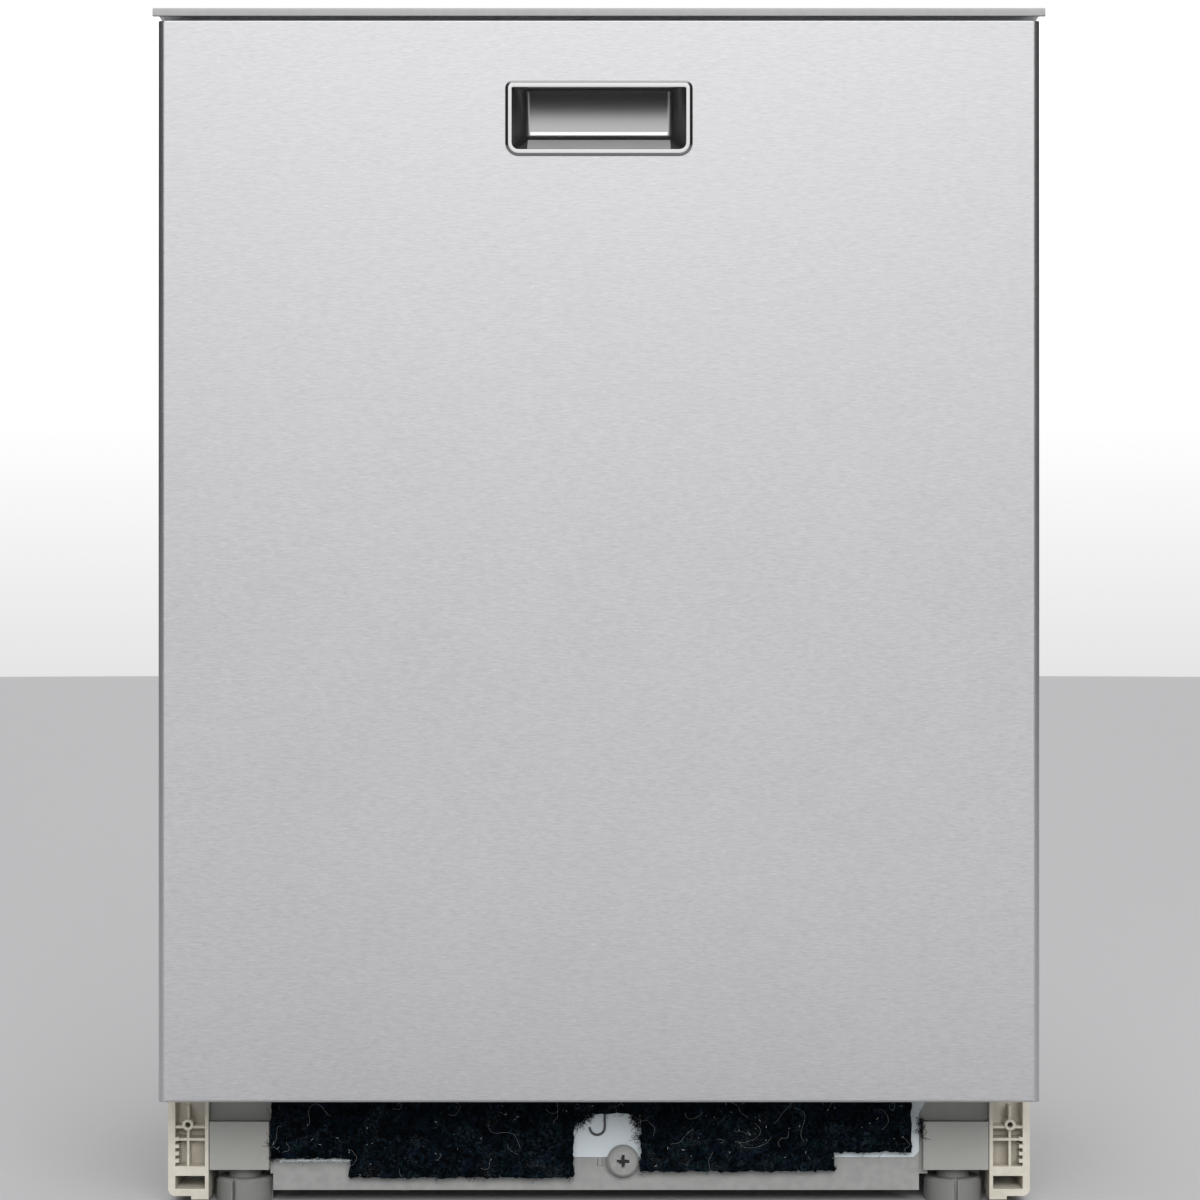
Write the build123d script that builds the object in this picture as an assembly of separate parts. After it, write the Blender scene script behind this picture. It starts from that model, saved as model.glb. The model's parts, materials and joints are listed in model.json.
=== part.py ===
"""Built-in dishwasher, 600 mm class: steel door with a pocket handle, tub, racks, spray arms and base.

Millimetres. +Z is up, the door faces -Y, and the origin is on the floor under the middle of the machine.
"""
from build123d import *
import os

# Overall envelope
WIDTH = 598.0  # over the top trim
DEPTH = 570.0  # handle rim to the hose spigots at the back
HEIGHT = 815.0  # feet screwed in, to the top of the trim

# Gauges and clearances
SHEET = 1.0  # door panel, liner, trim and kick plates
TUB_SHEET = 1.2
WALL = 3.0  # base moulding
THIN_WALL = 2.5  # console, sump and small mouldings
SEAT_GAP = 0.3  # between pieces that sit together but move or come off
RUN_FIT = 0.05  # radial play of a pin in its bore
GLIDE_GAP = 0.4  # rails and runners
LIFT_GAP = 0.5  # under things that turn above a floor

# Door
RIM_PROUD = 1.5  # handle rim ahead of the door face
TRIM_LIP = 6.2  # height of the trim's front lip
TRIM_SETBACK = 3.0  # trim lip behind the door face
TRIM_REST = 22.0  # trim plate behind the tub's front face
DOOR_SIDE_GAP = 4.0  # trim end to door edge
DOOR_TOP_GAP = 3.4  # trim lip to door top
DOOR_BOTTOM = 82.0
PANEL_FLANGE = 20.0  # folded edge of the door panel
PANEL_CORNER = 4.5
PANEL_BEND = 3.0
LINER_SETBACK = 46.0  # liner's inner face behind the door face
LINER_RISE = 20.0  # liner's lower edge above the door's lower edge
LINER_LAP = 12.0  # liner flange reaching into the panel's flange
LINER_DISH = 5.0  # pressed hollow in the liner
LINER_BAND = 44.0  # flat sealing band round the hollow
LINER_BEND = 3.0
CONSOLE_HEIGHT = 32.0
HINGE_SETBACK = 28.0  # hinge pin behind the door face
HINGE_RISE = 25.0  # hinge pin above the door's lower edge
HINGE_PIN_R = 4.0
HINGE_EYE_R = 9.0
HINGE_PLATE = 3.0
HINGE_INSET = 16.5  # tub flange edge to the outer face of the hinge plate
HINGE_NOTCH = 15.0  # liner cut-out above the hinge pin
ARM_HEIGHT = 120.0
SPRING_LEVER = (16.0, 4.0)  # cord pin behind and above the hinge pin

# Screws that hold the door panel to the liner
LINER_SCREW_R = 2.0
LINER_SCREW_HEAD_R = 4.2
LINER_SCREW_HEAD = 2.2
LINER_SCREW_LENGTH = 9.0
LINER_SCREW_INSET = 26.0  # from the liner's side
LINER_SCREW_COUNT = 3  # on each side
LINER_SCREW_RISE = 49.0  # lowest screw above the hinge arms
LINER_SCREW_DROP = 63.4  # uppermost screw below the liner's top

# Handle pocket
HANDLE_DROP = 40.2  # top of the rim below the door's top
RIM_WIDTH = 125.4
RIM_HEIGHT = 50.5
RIM_BAND = 4.7
RIM_TOP_RADIUS = 5.0
RIM_LOWER_RADIUS = 9.0
POCKET_DEPTH = 28.0
POCKET_WALL = 1.5
POCKET_SIDE_DRAFT = 7.5
POCKET_FLOOR_RISE = 12.7
POCKET_ROOF_RISE = 6.0
POCKET_LEAN = 9.0  # back wall's lean, deepest at its top, in degrees
RIM_ROUND = 1.3

# Controls on the door's top edge
BUTTON_LENGTH = 18.0
BUTTON_WIDTH = 9.0
BUTTON_HEIGHT = 8.0
BUTTON_PROUD = 1.0
BUTTON_TRAVEL = 1.5
BUTTON_PLACES = {
    "power_button": -150.0,
    "program_button": -95.0,
    "option_button": 95.0,
    "start_button": 150.0,
}
DISPLAY_LENGTH = 46.0
DISPLAY_PLACE = -40.0
BOARD_LENGTH = 360.0
BOARD_HEIGHT = 22.0

# Latch
STRIKE_WIDTH = 22.0
STRIKE_THICK = 4.0
STRIKE_REACH = 24.0  # tongue ahead of the tub's front face
STRIKE_DROP = 24.0  # tongue below the door's top
LATCH_SLOT_GAP = 2.5
LEVER_LENGTH = 18.0
LEVER_THICK = 3.0
LEVER_PIN_R = 2.0
LEVER_LIFT_DEG = 12.0

# Dispenser in the liner
DISPENSER_LENGTH = 190.0
DISPENSER_HEIGHT = 118.0
DISPENSER_DEPTH = 24.0
DISPENSER_X = -40.0
DISPENSER_DROP = 7.7  # dispenser's centre below the liner's
CUP_LENGTH = 74.0
CUP_HEIGHT = 62.0
CUP_DEPTH = 18.0
CUP_PLACE = (-44.0, -14.0)  # cup centre from the dispenser's centre
LID_THICK = 2.5
LID_LAP = 4.0
LID_TRAVEL = 80.0
CAP_R = 15.0
CAP_PLACE = (66.0, 40.0)
CAP_THICK = 5.0
CAP_GRIP = (5.0, 24.0)

# Tub
CABINET_INSET = 1.0  # trim end to tub flange edge
TUB_SETBACK = 52.0  # tub's front face behind the door face
TUB_FLANGE = 24.0  # front flange outside the tub wall
TUB_HEAD = 27.0  # tub roof below the trim plate
TUB_RETURN = 14.0  # flange edge folded back
TUB_RADIUS = 22.0
TUB_REAR_ROOM = 20.0  # behind the tub
TRACK_RISE = 18.0  # tub floor above the hinge pin, level with the opened liner
BLANKET = 16.0
BLANKET_FOOT = 10.0  # blanket's lower edge above the tub floor
GASKET_BAND = 10.0
GASKET_INSET = 2.0  # from the tub opening
WORKTOP_SCREW_SPAN = 420.0
WORKTOP_SCREW_R = 2.5

# Tub floor, sump and filter
FLOOR_SHEET = 2.5
FUNNEL_INSET = 69.0  # funnel's edge to the tub side
FUNNEL_DROP = 14.0
SUMP_MOUTH_R = 96.0
SUMP_R = 82.0
SUMP_DEPTH = 58.0
SUMP_PORT = 8.0  # flat port on each side of the sump bowl
FILTER_PLATE = 2.0
FILTER_R = 28.0
FILTER_OFFSET = 46.0
FILTER_DEPTH = 40.0
FILTER_HEAD = 6.0
HUB_R = 14.0
HUB_PIN_R = 8.0

# Base moulding
KICK_SETBACK = 80.0  # base front wall behind the door face
BASE_BOTTOM = 20.0
BASE_INSET = 1.0  # tub flange edge to base side
BASE_REAR_ROOM = 27.0  # base back wall ahead of the hose spigots' ends
LEG_BLOCK_BOTTOM = 23.9
LEG_BLOCK_TOP = 57.2
LEG_BLOCK_WIDTH = 42.0
LEG_BLOCK_PROUD = 8.0
BRACKET_WIDTH = 28.0
BRACKET_BOTTOM = 5.9
BRACKET_TOP = 88.0
BRACKET_DEPTH = 59.5
BRACKET_WALL = 2.5
BRACKET_RIB = 1.7
BRACKET_WEB = 14.0  # web behind the bracket's front edge
BRACKET_WINDOW = (10.8, 19.8)  # see-through window above the lower lip
BRACKET_BOSS_R = 3.8
BRACKET_TEETH = 4
BRACKET_TAB = (12.0, 20.0, 2.4)  # width, depth and drop of the lower tab
TOE_SCREW_R = 1.9
TOE_SCREW_Z = 55.0
TOE_SCREW_INSET = 14.4  # from the bracket's inner edge

# Feet and the rear foot's adjuster
FOOT_INSET = 51.0  # tub flange edge to foot axis
FOOT_SETBACK = 22.0  # foot axis behind the leg block's face
FOOT_R = 20.0
FOOT_HEIGHT = 16.7
FOOT_NECK_R = 11.5
FOOT_STEM_R = 5.0
FOOT_STEM_TOP = 53.0
FOOT_SLOT = 2.4
FOOT_SLOT_DEPTH = 4.0
LEFT_FOOT_TURN = -17.0  # degrees that the left foot was last turned
SPINDLE_X = 16.6
SPINDLE_Z = 29.5
SPINDLE_R = 3.0
SPINDLE_HEAD_R = 11.0
SPINDLE_HEAD = 5.0
CROSS_SLOT = (9.0, 2.2, 2.5)
GEARBOX = (54.0, 46.0, 55.0)

# Kick plates, felt and hook
PLATE_GAPS = (2.0, 6.0)  # kick plates to the left and right leg blocks
LOWER_PLATE_BOTTOM = 8.7
LOWER_PLATE_TOP = 48.0
WHITE_PLATE_BOTTOM = 31.6
KICK_TOP = 100.0
FELT = 8.0
FELT_LAP = 1.0  # felt past the plates' left edge
FELT_MARGIN = 6.0  # felt short of the plates' right edge
FELT_INNER_STEPS = (-172.0, -18.7, 28.4, 164.0)  # side edges of the felt's steps
FELT_EDGES = (30.9, 18.4, 62.0, 23.9, 36.4)  # lower edge of each step
HOOK_WIRE_R = 0.8
HOOK_BEND_R = 5.2
HOOK_PLACE = (-1.2, 52.5)

# Racks
WIRE_R = 2.0
RIM_WIRE_R = 2.8
RACK_FRONT_GAP = 15.0  # liner to rack
RACK_REAR_GAP = 18.0
LOWER_RACK_SIDE = 22.8  # lower rack to the tub wall
LOWER_RACK_FLOOR = 30.0  # rack floor above the wheel track
LOWER_RACK_HEIGHT = 112.0
UPPER_RACK_SIDE = 37.8  # upper rack to the tub wall
UPPER_RACK_HEAD = 302.0  # upper rack's floor below the tub roof
UPPER_RACK_HEIGHT = 120.0
RACK_PITCH = 52.0
TINE_PITCH = 36.0
LOWER_TINE = 80.0
UPPER_TINE = 55.0
LOWER_TINE_COUNT = 10
UPPER_TINE_COUNT = 7
TINE_INSET = 34.0  # first tine from the rack's left side
WHEEL_R = 18.0
WHEEL_THICK = 9.0
WHEEL_BORE_R = 3.0
WHEEL_SETBACK = 62.0  # wheel axles from the rack's ends
BASKET = (66.0, 190.0, 110.0)
BASKET_WALL = 2.0
BASKET_CELLS = 3
BASKET_SLOT = (5.0, 70.0)
BASKET_SLOTS = 4  # in each cell's long wall
BASKET_GAP = 3.0  # to the rack's side wires
BASKET_GRIP = 34.0
RAIL_HEIGHT = 24.0
RAIL_DEPTH = 13.0
RAIL_GAUGE = 1.5
RAIL_LENGTH = 430.0
RAIL_DROP = 34.0  # rail's middle below the upper rack's rim
GUIDE_LENGTH = 36.0
GUIDE_LIP = 3.0
GUIDE_PLACES = (30.0, 190.0)  # behind the tub's front face
GLIDE_LENGTH = 40.0
GLIDE_PLACES = (232.0, 400.0)  # behind the rail's front end

# Spray arms and pipes
ARM_SIDE = 50.8  # lower arm's tip to the tub wall
UPPER_ARM_INSET = 30.0  # upper arm's tip inside its rack
ARM_WIDTH = 46.0
ARM_THICK = 12.0
ARM_HUB_R = 26.0
ARM_GAP = 5.0  # arm above the tub floor
UPPER_ARM_DROP = 28.0  # arm's top below the upper rack floor
JET = (9.0, 2.4)
JET_DEPTH = 4.0
JET_COUNT = 4
JET_TURN = 30.0  # slant of the jet slots
PIPE_WIDTH = 32.0
PIPE_DEPTH = 15.0
MANIFOLD_HEIGHT = 14.0

# Pumps and connections
PUMP_R = 40.0
PUMP_VOLUTE = 34.0
MOTOR_R = 34.0
MOTOR_LENGTH = 96.0
PUMP_Z = 64.0
DRAIN_PUMP_R = 26.0
DRAIN_PUMP_LENGTH = 74.0
INLET_THREAD_R = 13.2  # three-quarter inch hose thread
INLET_X = -210.0
DRAIN_SPIGOT_R = 10.5
DRAIN_X = 210.0
CONNECTION_Z = 66.0
FITTING_RIM = 6.0  # fitting body outside its spigot
INLET_BODY = 46.0
DRAIN_BODY = 20.0
GLAND_X = 150.0
GLAND_R = 9.0
GLAND_BORE_R = 4.5
FLOAT_R = 14.0
FLOAT_HEIGHT = 14.0
FLOAT_STEM_R = 4.0
FLOAT_TRAVEL = 8.0
FLOAT_INSET = (58.0, 40.0)  # from the tub's left wall and front face

# Springs
COIL_R = 7.0
COIL_LENGTH = 150.0
COIL_START = 100.0  # coil's front end behind the cord pin
CORD_R = 1.5
PEG_R = 3.5

# Places worked out from the sizes above
BACK = DEPTH / 2
FRONT = RIM_PROUD - DEPTH / 2  # door face
TRIM_BOTTOM = HEIGHT - TRIM_LIP
DOOR_WIDTH = WIDTH - 2 * DOOR_SIDE_GAP
DOOR_TOP = TRIM_BOTTOM - DOOR_TOP_GAP
DOOR_IN = DOOR_WIDTH / 2 - SHEET - SEAT_GAP  # half width inside the panel's flanges
HINGE_Y = FRONT + HINGE_SETBACK
HINGE_Z = DOOR_BOTTOM + HINGE_RISE
LINER_Y = FRONT + LINER_SETBACK
LINER_BOTTOM = DOOR_BOTTOM + LINER_RISE
LINER_TOP = DOOR_TOP - CONSOLE_HEIGHT
FLANGE_HALF = WIDTH / 2 - CABINET_INSET
TUB_HALF = FLANGE_HALF - TUB_FLANGE
TUB_IN = TUB_HALF - TUB_SHEET
TUB_FRONT = FRONT + TUB_SETBACK
TUB_BACK = BACK - TUB_REAR_ROOM
TUB_TOP = HEIGHT - SHEET - TUB_HEAD
TRACK = HINGE_Z + TRACK_RISE  # top of the tub floor
BASE_TOP = TRACK - FLOOR_SHEET
TUB_MID = (TUB_FRONT + TUB_BACK) / 2
FUNNEL_R = TUB_HALF - FUNNEL_INSET
SUMP_RIM = TRACK - FUNNEL_DROP  # lower edge of the funnel's top side
BASE_HALF = FLANGE_HALF - BASE_INSET
BASE_FRONT = FRONT + KICK_SETBACK
BASE_BACK = BACK - BASE_REAR_ROOM
LEG_FACE = BASE_FRONT - LEG_BLOCK_PROUD
BRACKET_INNER = FLANGE_HALF - BRACKET_WIDTH
LEG_BLOCK_INNER = BRACKET_INNER - LEG_BLOCK_WIDTH
PLATE_LEFT = PLATE_GAPS[0] - LEG_BLOCK_INNER
PLATE_RIGHT = LEG_BLOCK_INNER - PLATE_GAPS[1]
FELT_STEPS = (PLATE_LEFT - FELT_LAP, *FELT_INNER_STEPS, PLATE_RIGHT - FELT_MARGIN)
SHOULDER = LEG_FACE + BRACKET_DEPTH + SEAT_GAP  # base widens behind the leg brackets
FOOT_X = FLANGE_HALF - FOOT_INSET
FOOT_Y = LEG_FACE + FOOT_SETBACK
REAR_FOOT_Y = BASE_BACK - WALL - GEARBOX[1] / 2
HINGE_X = FLANGE_HALF - HINGE_INSET  # outer face of the fixed hinge plate
ARM_X = HINGE_X - HINGE_PLATE - LIFT_GAP  # outer face of the door's hinge arm
RACK_FRONT = LINER_Y + RACK_FRONT_GAP
RACK_BACK = TUB_BACK - TUB_SHEET - RACK_REAR_GAP
WHEEL_Z = TRACK + LIFT_GAP + WHEEL_R
LOWER_FLOOR = TRACK + LOWER_RACK_FLOOR
UPPER_FLOOR = TUB_TOP - UPPER_RACK_HEAD
LOWER_HALF = TUB_IN - LOWER_RACK_SIDE
UPPER_HALF = TUB_IN - UPPER_RACK_SIDE
RAIL_Z = UPPER_FLOOR + UPPER_RACK_HEIGHT - RAIL_DROP
RAIL_FRONT = TUB_FRONT + LIFT_GAP
RAIL_OUT = TUB_IN - GUIDE_LIP - GLIDE_GAP  # outer face of a rail
ARM_R = TUB_IN - ARM_SIDE
UPPER_ARM_R = UPPER_HALF - UPPER_ARM_INSET
ARM_Z = TRACK + ARM_GAP
UPPER_ARM_Z = UPPER_FLOOR - UPPER_ARM_DROP - ARM_THICK
HANDLE_Z = DOOR_TOP - HANDLE_DROP - RIM_HEIGHT / 2
STRIKE_Z = DOOR_TOP - STRIKE_DROP
DISH_Y = LINER_Y - LINER_DISH  # bottom of the liner's hollow
DISPENSER_CENTRE = (DISPENSER_X, (LINER_BOTTOM + LINER_TOP) / 2 - DISPENSER_DROP)
DISPENSER_FACE = DISH_Y + LID_THICK + SEAT_GAP
LEFT, RIGHT = -1, 1


def block(x0, x1, y0, y1, z0, z1):
    """Box between two corners."""
    return Pos((x0 + x1) / 2, (y0 + y1) / 2, (z0 + z1) / 2) * Box(x1 - x0, y1 - y0, z1 - z0)


def facing_front(y):
    """Plane at depth y with X to the right and Z up; it extrudes towards the front."""
    return Plane(origin=(0, y, 0), x_dir=(1, 0, 0), z_dir=(0, -1, 0))


def facing_side(x):
    """Plane at x with Y and Z as its axes; it extrudes towards +X."""
    return Plane(origin=(x, 0, 0), x_dir=(0, 1, 0), z_dir=(1, 0, 0))


def post(x, y, z0, z1, radius):
    """Upright cylinder."""
    return Pos(x, y, (z0 + z1) / 2) * Cylinder(radius, z1 - z0)


def along_x(x0, x1, y, z, radius):
    """Cylinder lying along X."""
    return Pos((x0 + x1) / 2, y, z) * Rot(0, 90, 0) * Cylinder(radius, x1 - x0)


def along_y(x, y0, y1, z, radius):
    """Cylinder lying along Y."""
    return Pos(x, (y0 + y1) / 2, z) * Rot(90, 0, 0) * Cylinder(radius, y1 - y0)


def mirrored(shape):
    """The right-hand twin of a left-hand piece."""
    return mirror(shape, about=Plane.YZ)


def pair(shape):
    """A left-hand piece and its right-hand twin."""
    return [shape, mirrored(shape)]


def octagon(radius):
    """Section of a wire, with flats on all four sides."""
    return RegularPolygon(radius, 8, major_radius=False, rotation=22.5)


def wire_x(x0, x1, y, z, radius):
    return extrude(facing_side(x0) * Pos(y, z) * octagon(radius), amount=x1 - x0)


def wire_y(x, y0, y1, z, radius):
    return extrude(facing_front(y1) * Pos(x, z) * octagon(radius), amount=y1 - y0)


def wire_z(x, y, z0, z1, radius):
    return extrude(Plane.XY.offset(z0) * Pos(x, y) * octagon(radius), amount=z1 - z0)


def spread(first, last, pitch):
    """Evenly spaced places from first to last, about a pitch apart."""
    count = max(2, round((last - first) / pitch) + 1)
    return [first + i * (last - first) / (count - 1) for i in range(count)]


# Door

def door_panel():
    """Outer steel pan with folded edges and the handle's cut-out."""
    pan = block(-DOOR_WIDTH / 2, DOOR_WIDTH / 2, FRONT, FRONT + PANEL_FLANGE, DOOR_BOTTOM, DOOR_TOP)
    pan = fillet(pan.edges().filter_by(Axis.Y), PANEL_CORNER)
    pan = fillet(pan.faces().sort_by(Axis.Y)[0].edges(), PANEL_BEND)
    pan = offset(pan, amount=-SHEET, openings=pan.faces().sort_by(Axis.Y)[-1])
    return pan - handle_barrel(FRONT - RIM_PROUD, POCKET_WALL + SEAT_GAP, 2 * PANEL_FLANGE)


def rim_outline(inset):
    """Handle outline with tighter corners above than below, drawn in by inset."""
    shape = Pos(0, HANDLE_Z) * Rectangle(RIM_WIDTH - 2 * inset, RIM_HEIGHT - 2 * inset)
    shape = fillet(shape.vertices().sort_by(Axis.Y)[:2], max(RIM_LOWER_RADIUS - inset, 1))
    return fillet(shape.vertices().sort_by(Axis.Y)[-2:], max(RIM_TOP_RADIUS - inset, 1))


def handle_barrel(y, grow, length):
    """Straight plug through the panel, round the pocket's mouth."""
    return extrude(facing_front(y) * rim_outline(RIM_BAND - grow), amount=-length)


def pocket_form(y, grow, depth):
    """Tapered hollow from the mouth at y to its back wall; grow thickens it into the outer form."""
    mouth_width = RIM_WIDTH - 2 * (RIM_BAND - grow)
    mouth_height = RIM_HEIGHT - 2 * (RIM_BAND - grow)
    low = HANDLE_Z - mouth_height / 2 + POCKET_FLOOR_RISE
    high = HANDLE_Z + mouth_height / 2 + POCKET_ROOF_RISE
    mouth = facing_front(y) * Pos(0, HANDLE_Z) * RectangleRounded(mouth_width, mouth_height, RIM_TOP_RADIUS)
    back_width = mouth_width - 2 * POCKET_SIDE_DRAFT
    back = Pos(0, y + depth, (low + high) / 2) * Rot(90 - POCKET_LEAN, 0, 0) * RectangleRounded(
        back_width, high - low, RIM_TOP_RADIUS)
    return loft([mouth, back])


def handle_pocket():
    """Moulded grip pocket whose rim laps over the door panel."""
    rim = extrude(facing_front(FRONT) * rim_outline(0), amount=RIM_PROUD)
    rim = fillet(rim.faces().sort_by(Axis.Y)[0].edges(), RIM_ROUND)
    body = rim + pocket_form(FRONT, POCKET_WALL, POCKET_DEPTH + POCKET_WALL)
    return body - pocket_form(FRONT - RIM_PROUD, 0, POCKET_DEPTH + RIM_PROUD)


def liner_solid(grow):
    """Liner's outer form, or with grow the form inside its sheet."""
    y0 = FRONT + PANEL_FLANGE - LINER_LAP
    solid = block(-DOOR_IN + grow, DOOR_IN - grow, y0, LINER_Y - grow, LINER_BOTTOM + grow, LINER_TOP - grow)
    hollow_half = DOOR_IN - LINER_BAND
    hollow = block(-hollow_half - grow, hollow_half + grow, DISH_Y - grow, LINER_Y + SHEET,
                   LINER_BOTTOM + LINER_BAND - grow, LINER_TOP - LINER_BAND + grow)
    hollow = fillet(hollow.edges().filter_by(Axis.Y), LINER_BAND / 2)
    return solid - hollow


def door_liner():
    """Pressed inner skin with a dished middle, a dispenser opening and hinge cut-outs."""
    liner = liner_solid(0)
    liner = fillet(liner.edges().filter_by(Axis.Z).sort_by(Axis.Y)[-2:], LINER_BEND)
    liner = liner - liner_solid(SHEET)
    x, z = DISPENSER_CENTRE
    half_x, half_z = DISPENSER_LENGTH / 2 + SEAT_GAP, DISPENSER_HEIGHT / 2 + SEAT_GAP
    liner -= block(x - half_x, x + half_x, FRONT, BACK, z - half_z, z + half_z)
    for place_x, place_z in liner_screw_places():
        liner -= along_y(place_x, FRONT, BACK, place_z, LINER_SCREW_R + RUN_FIT)
    for side in (LEFT, RIGHT):
        x0, x1 = sorted((side * hinge_notch(), side * DOOR_WIDTH / 2))
        liner -= block(x0, x1, FRONT, BACK, DOOR_BOTTOM, HINGE_Z + HINGE_NOTCH)
    return liner


def hinge_notch():
    """Inner edge of the liner's hinge cut-outs, clear of the spring cords."""
    return cord_line() - COIL_R


def liner_screw_places():
    x = DOOR_IN - LINER_SCREW_INSET
    high = LINER_TOP - LINER_SCREW_DROP
    pitch = (high - arm_foot() - ARM_HEIGHT - LINER_SCREW_RISE) / (LINER_SCREW_COUNT - 1)
    heights = [high - i * pitch for i in range(LINER_SCREW_COUNT)]
    return [(side * x, z) for z in heights for side in (LEFT, RIGHT)]


def liner_screws():
    """Pan-head screws on the liner's sealing band."""
    screws = []
    for x, z in liner_screw_places():
        head = along_y(x, LINER_Y, LINER_Y + LINER_SCREW_HEAD, z, LINER_SCREW_HEAD_R)
        head = chamfer(head.edges().sort_by(Axis.Y)[-1], LINER_SCREW_HEAD / 2)
        screws.append(head + along_y(x, LINER_Y - LINER_SCREW_LENGTH, LINER_Y, z, LINER_SCREW_R))
    return screws


def lower_door_seal():
    """Rubber lip along the liner's lower edge, between the lower rack's wheels."""
    half = LOWER_HALF
    lip = block(-half, half, LINER_Y, LINER_Y + THIN_WALL, LINER_BOTTOM, LINER_BOTTOM + 4 * THIN_WALL)
    return fillet(lip.edges().filter_by(Axis.X).sort_by(Axis.Y)[-2:], THIN_WALL / 3)


def button_place(x):
    return x, FRONT + PANEL_FLANGE + SEAT_GAP + (LINER_Y - FRONT - PANEL_FLANGE - SEAT_GAP) / 2


def button_outline(x, grow):
    place_x, place_y = button_place(x)
    size = (BUTTON_LENGTH + 2 * grow, BUTTON_WIDTH + 2 * grow)
    return Pos(place_x, place_y) * RectangleRounded(*size, BUTTON_WIDTH / 3)


def console():
    """Cap along the door's top edge, open below, with button wells and the latch slot."""
    under_flange = DOOR_TOP - SHEET - SEAT_GAP
    step = FRONT + PANEL_FLANGE + SEAT_GAP
    y0 = FRONT + SHEET + PANEL_BEND
    outline = Polyline((y0, LINER_TOP), (y0, under_flange), (step, under_flange), (step, DOOR_TOP),
                       (LINER_Y, DOOR_TOP), (LINER_Y, LINER_TOP), close=True)
    cap = extrude(facing_side(-DOOR_IN) * make_face(outline), amount=2 * DOOR_IN)
    ends = block(-DOOR_IN, DOOR_IN, FRONT, LINER_Y, LINER_TOP, DOOR_TOP)
    cap &= fillet(ends.edges().filter_by(Axis.Y).group_by(Axis.Z)[-1], PANEL_CORNER + 2 * SHEET)
    cap -= block(-DOOR_IN + THIN_WALL, DOOR_IN - THIN_WALL, y0 + THIN_WALL, LINER_Y - THIN_WALL,
                 LINER_TOP, under_flange - THIN_WALL)
    for x in BUTTON_PLACES.values():
        cap -= extrude(Plane.XY.offset(LINER_TOP) * button_outline(x, SEAT_GAP), amount=DOOR_TOP)
    cap -= extrude(Plane.XY.offset(DOOR_TOP - SHEET) * display_outline(0), amount=SHEET)
    slot = STRIKE_WIDTH / 2 + LATCH_SLOT_GAP
    cap -= block(-slot, slot, LINER_Y - THIN_WALL, LINER_Y, STRIKE_Z - STRIKE_THICK / 2 - LATCH_SLOT_GAP,
                 STRIKE_Z + STRIKE_THICK / 2 + LATCH_SLOT_GAP)
    return cap + latch_ears()


def display_outline(grow):
    x, y = button_place(DISPLAY_PLACE)
    return Pos(x, y) * RectangleRounded(DISPLAY_LENGTH + 2 * grow, BUTTON_WIDTH + 2 * grow, BUTTON_WIDTH / 3)


def display_window():
    """Clear window let into the console beside the buttons."""
    return extrude(Plane.XY.offset(DOOR_TOP - SHEET) * display_outline(0), amount=SHEET)


def button(x):
    """Push button standing in its well."""
    top = DOOR_TOP + BUTTON_PROUD
    body = extrude(Plane.XY.offset(top - BUTTON_HEIGHT) * button_outline(x, 0), amount=BUTTON_HEIGHT)
    return chamfer(body.faces().sort_by(Axis.Z)[-1].edges(), BUTTON_PROUD / 2)


def control_board():
    """Sealed electronics box on the console's back wall, in two halves beside the latch."""
    top = DOOR_TOP + BUTTON_PROUD - BUTTON_HEIGHT - BUTTON_TRAVEL - LIFT_GAP
    rear = LINER_Y - THIN_WALL
    inner = STRIKE_WIDTH / 2 + LATCH_SLOT_GAP + 2 * THIN_WALL
    front = FRONT + PANEL_FLANGE
    half = block(inner, BOARD_LENGTH / 2, front, rear, top - BOARD_HEIGHT, top)
    half = fillet(half.edges().filter_by(Axis.Z), THIN_WALL)
    return pair(half)


def latch_ears():
    """Two ears under the console roof that carry the latch lever's pin."""
    y, z = latch_pin()
    roof = DOOR_TOP - SHEET - SEAT_GAP - THIN_WALL
    gap = STRIKE_WIDTH / 2 + SEAT_GAP
    ears = Part()
    for side in (LEFT, RIGHT):
        x0, x1 = sorted((side * gap, side * (gap + THIN_WALL)))
        ear = block(x0, x1, y - 3 * LEVER_PIN_R, y + 3 * LEVER_PIN_R, z - 3 * LEVER_PIN_R, roof)
        ears += ear - along_x(x0 - 1, x1 + 1, y, z, LEVER_PIN_R + RUN_FIT)
    return ears


def latch_pin():
    """Lever pin, ahead of the tongue and above it."""
    return TUB_FRONT - STRIKE_REACH - 2 * LEVER_PIN_R, STRIKE_Z + STRIKE_THICK / 2 + 4 * LEVER_PIN_R


def latch_lever():
    """Sprung lever whose nose rides on the strike's tongue."""
    y, z = latch_pin()
    width = STRIKE_WIDTH - 2 * SEAT_GAP
    low = STRIKE_Z + STRIKE_THICK / 2 + LIFT_GAP
    outline = Polyline((y, z - LEVER_THICK), (y + LEVER_LENGTH, low), (y + LEVER_LENGTH, low + LEVER_THICK),
                       (y, z + LEVER_THICK), (y - LEVER_THICK, z), close=True)
    lever = extrude(facing_side(-width / 2) * make_face(outline), amount=width)
    reach = STRIKE_WIDTH / 2 + SEAT_GAP + THIN_WALL
    return lever + along_x(-reach, reach, y, z, LEVER_PIN_R)


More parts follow.
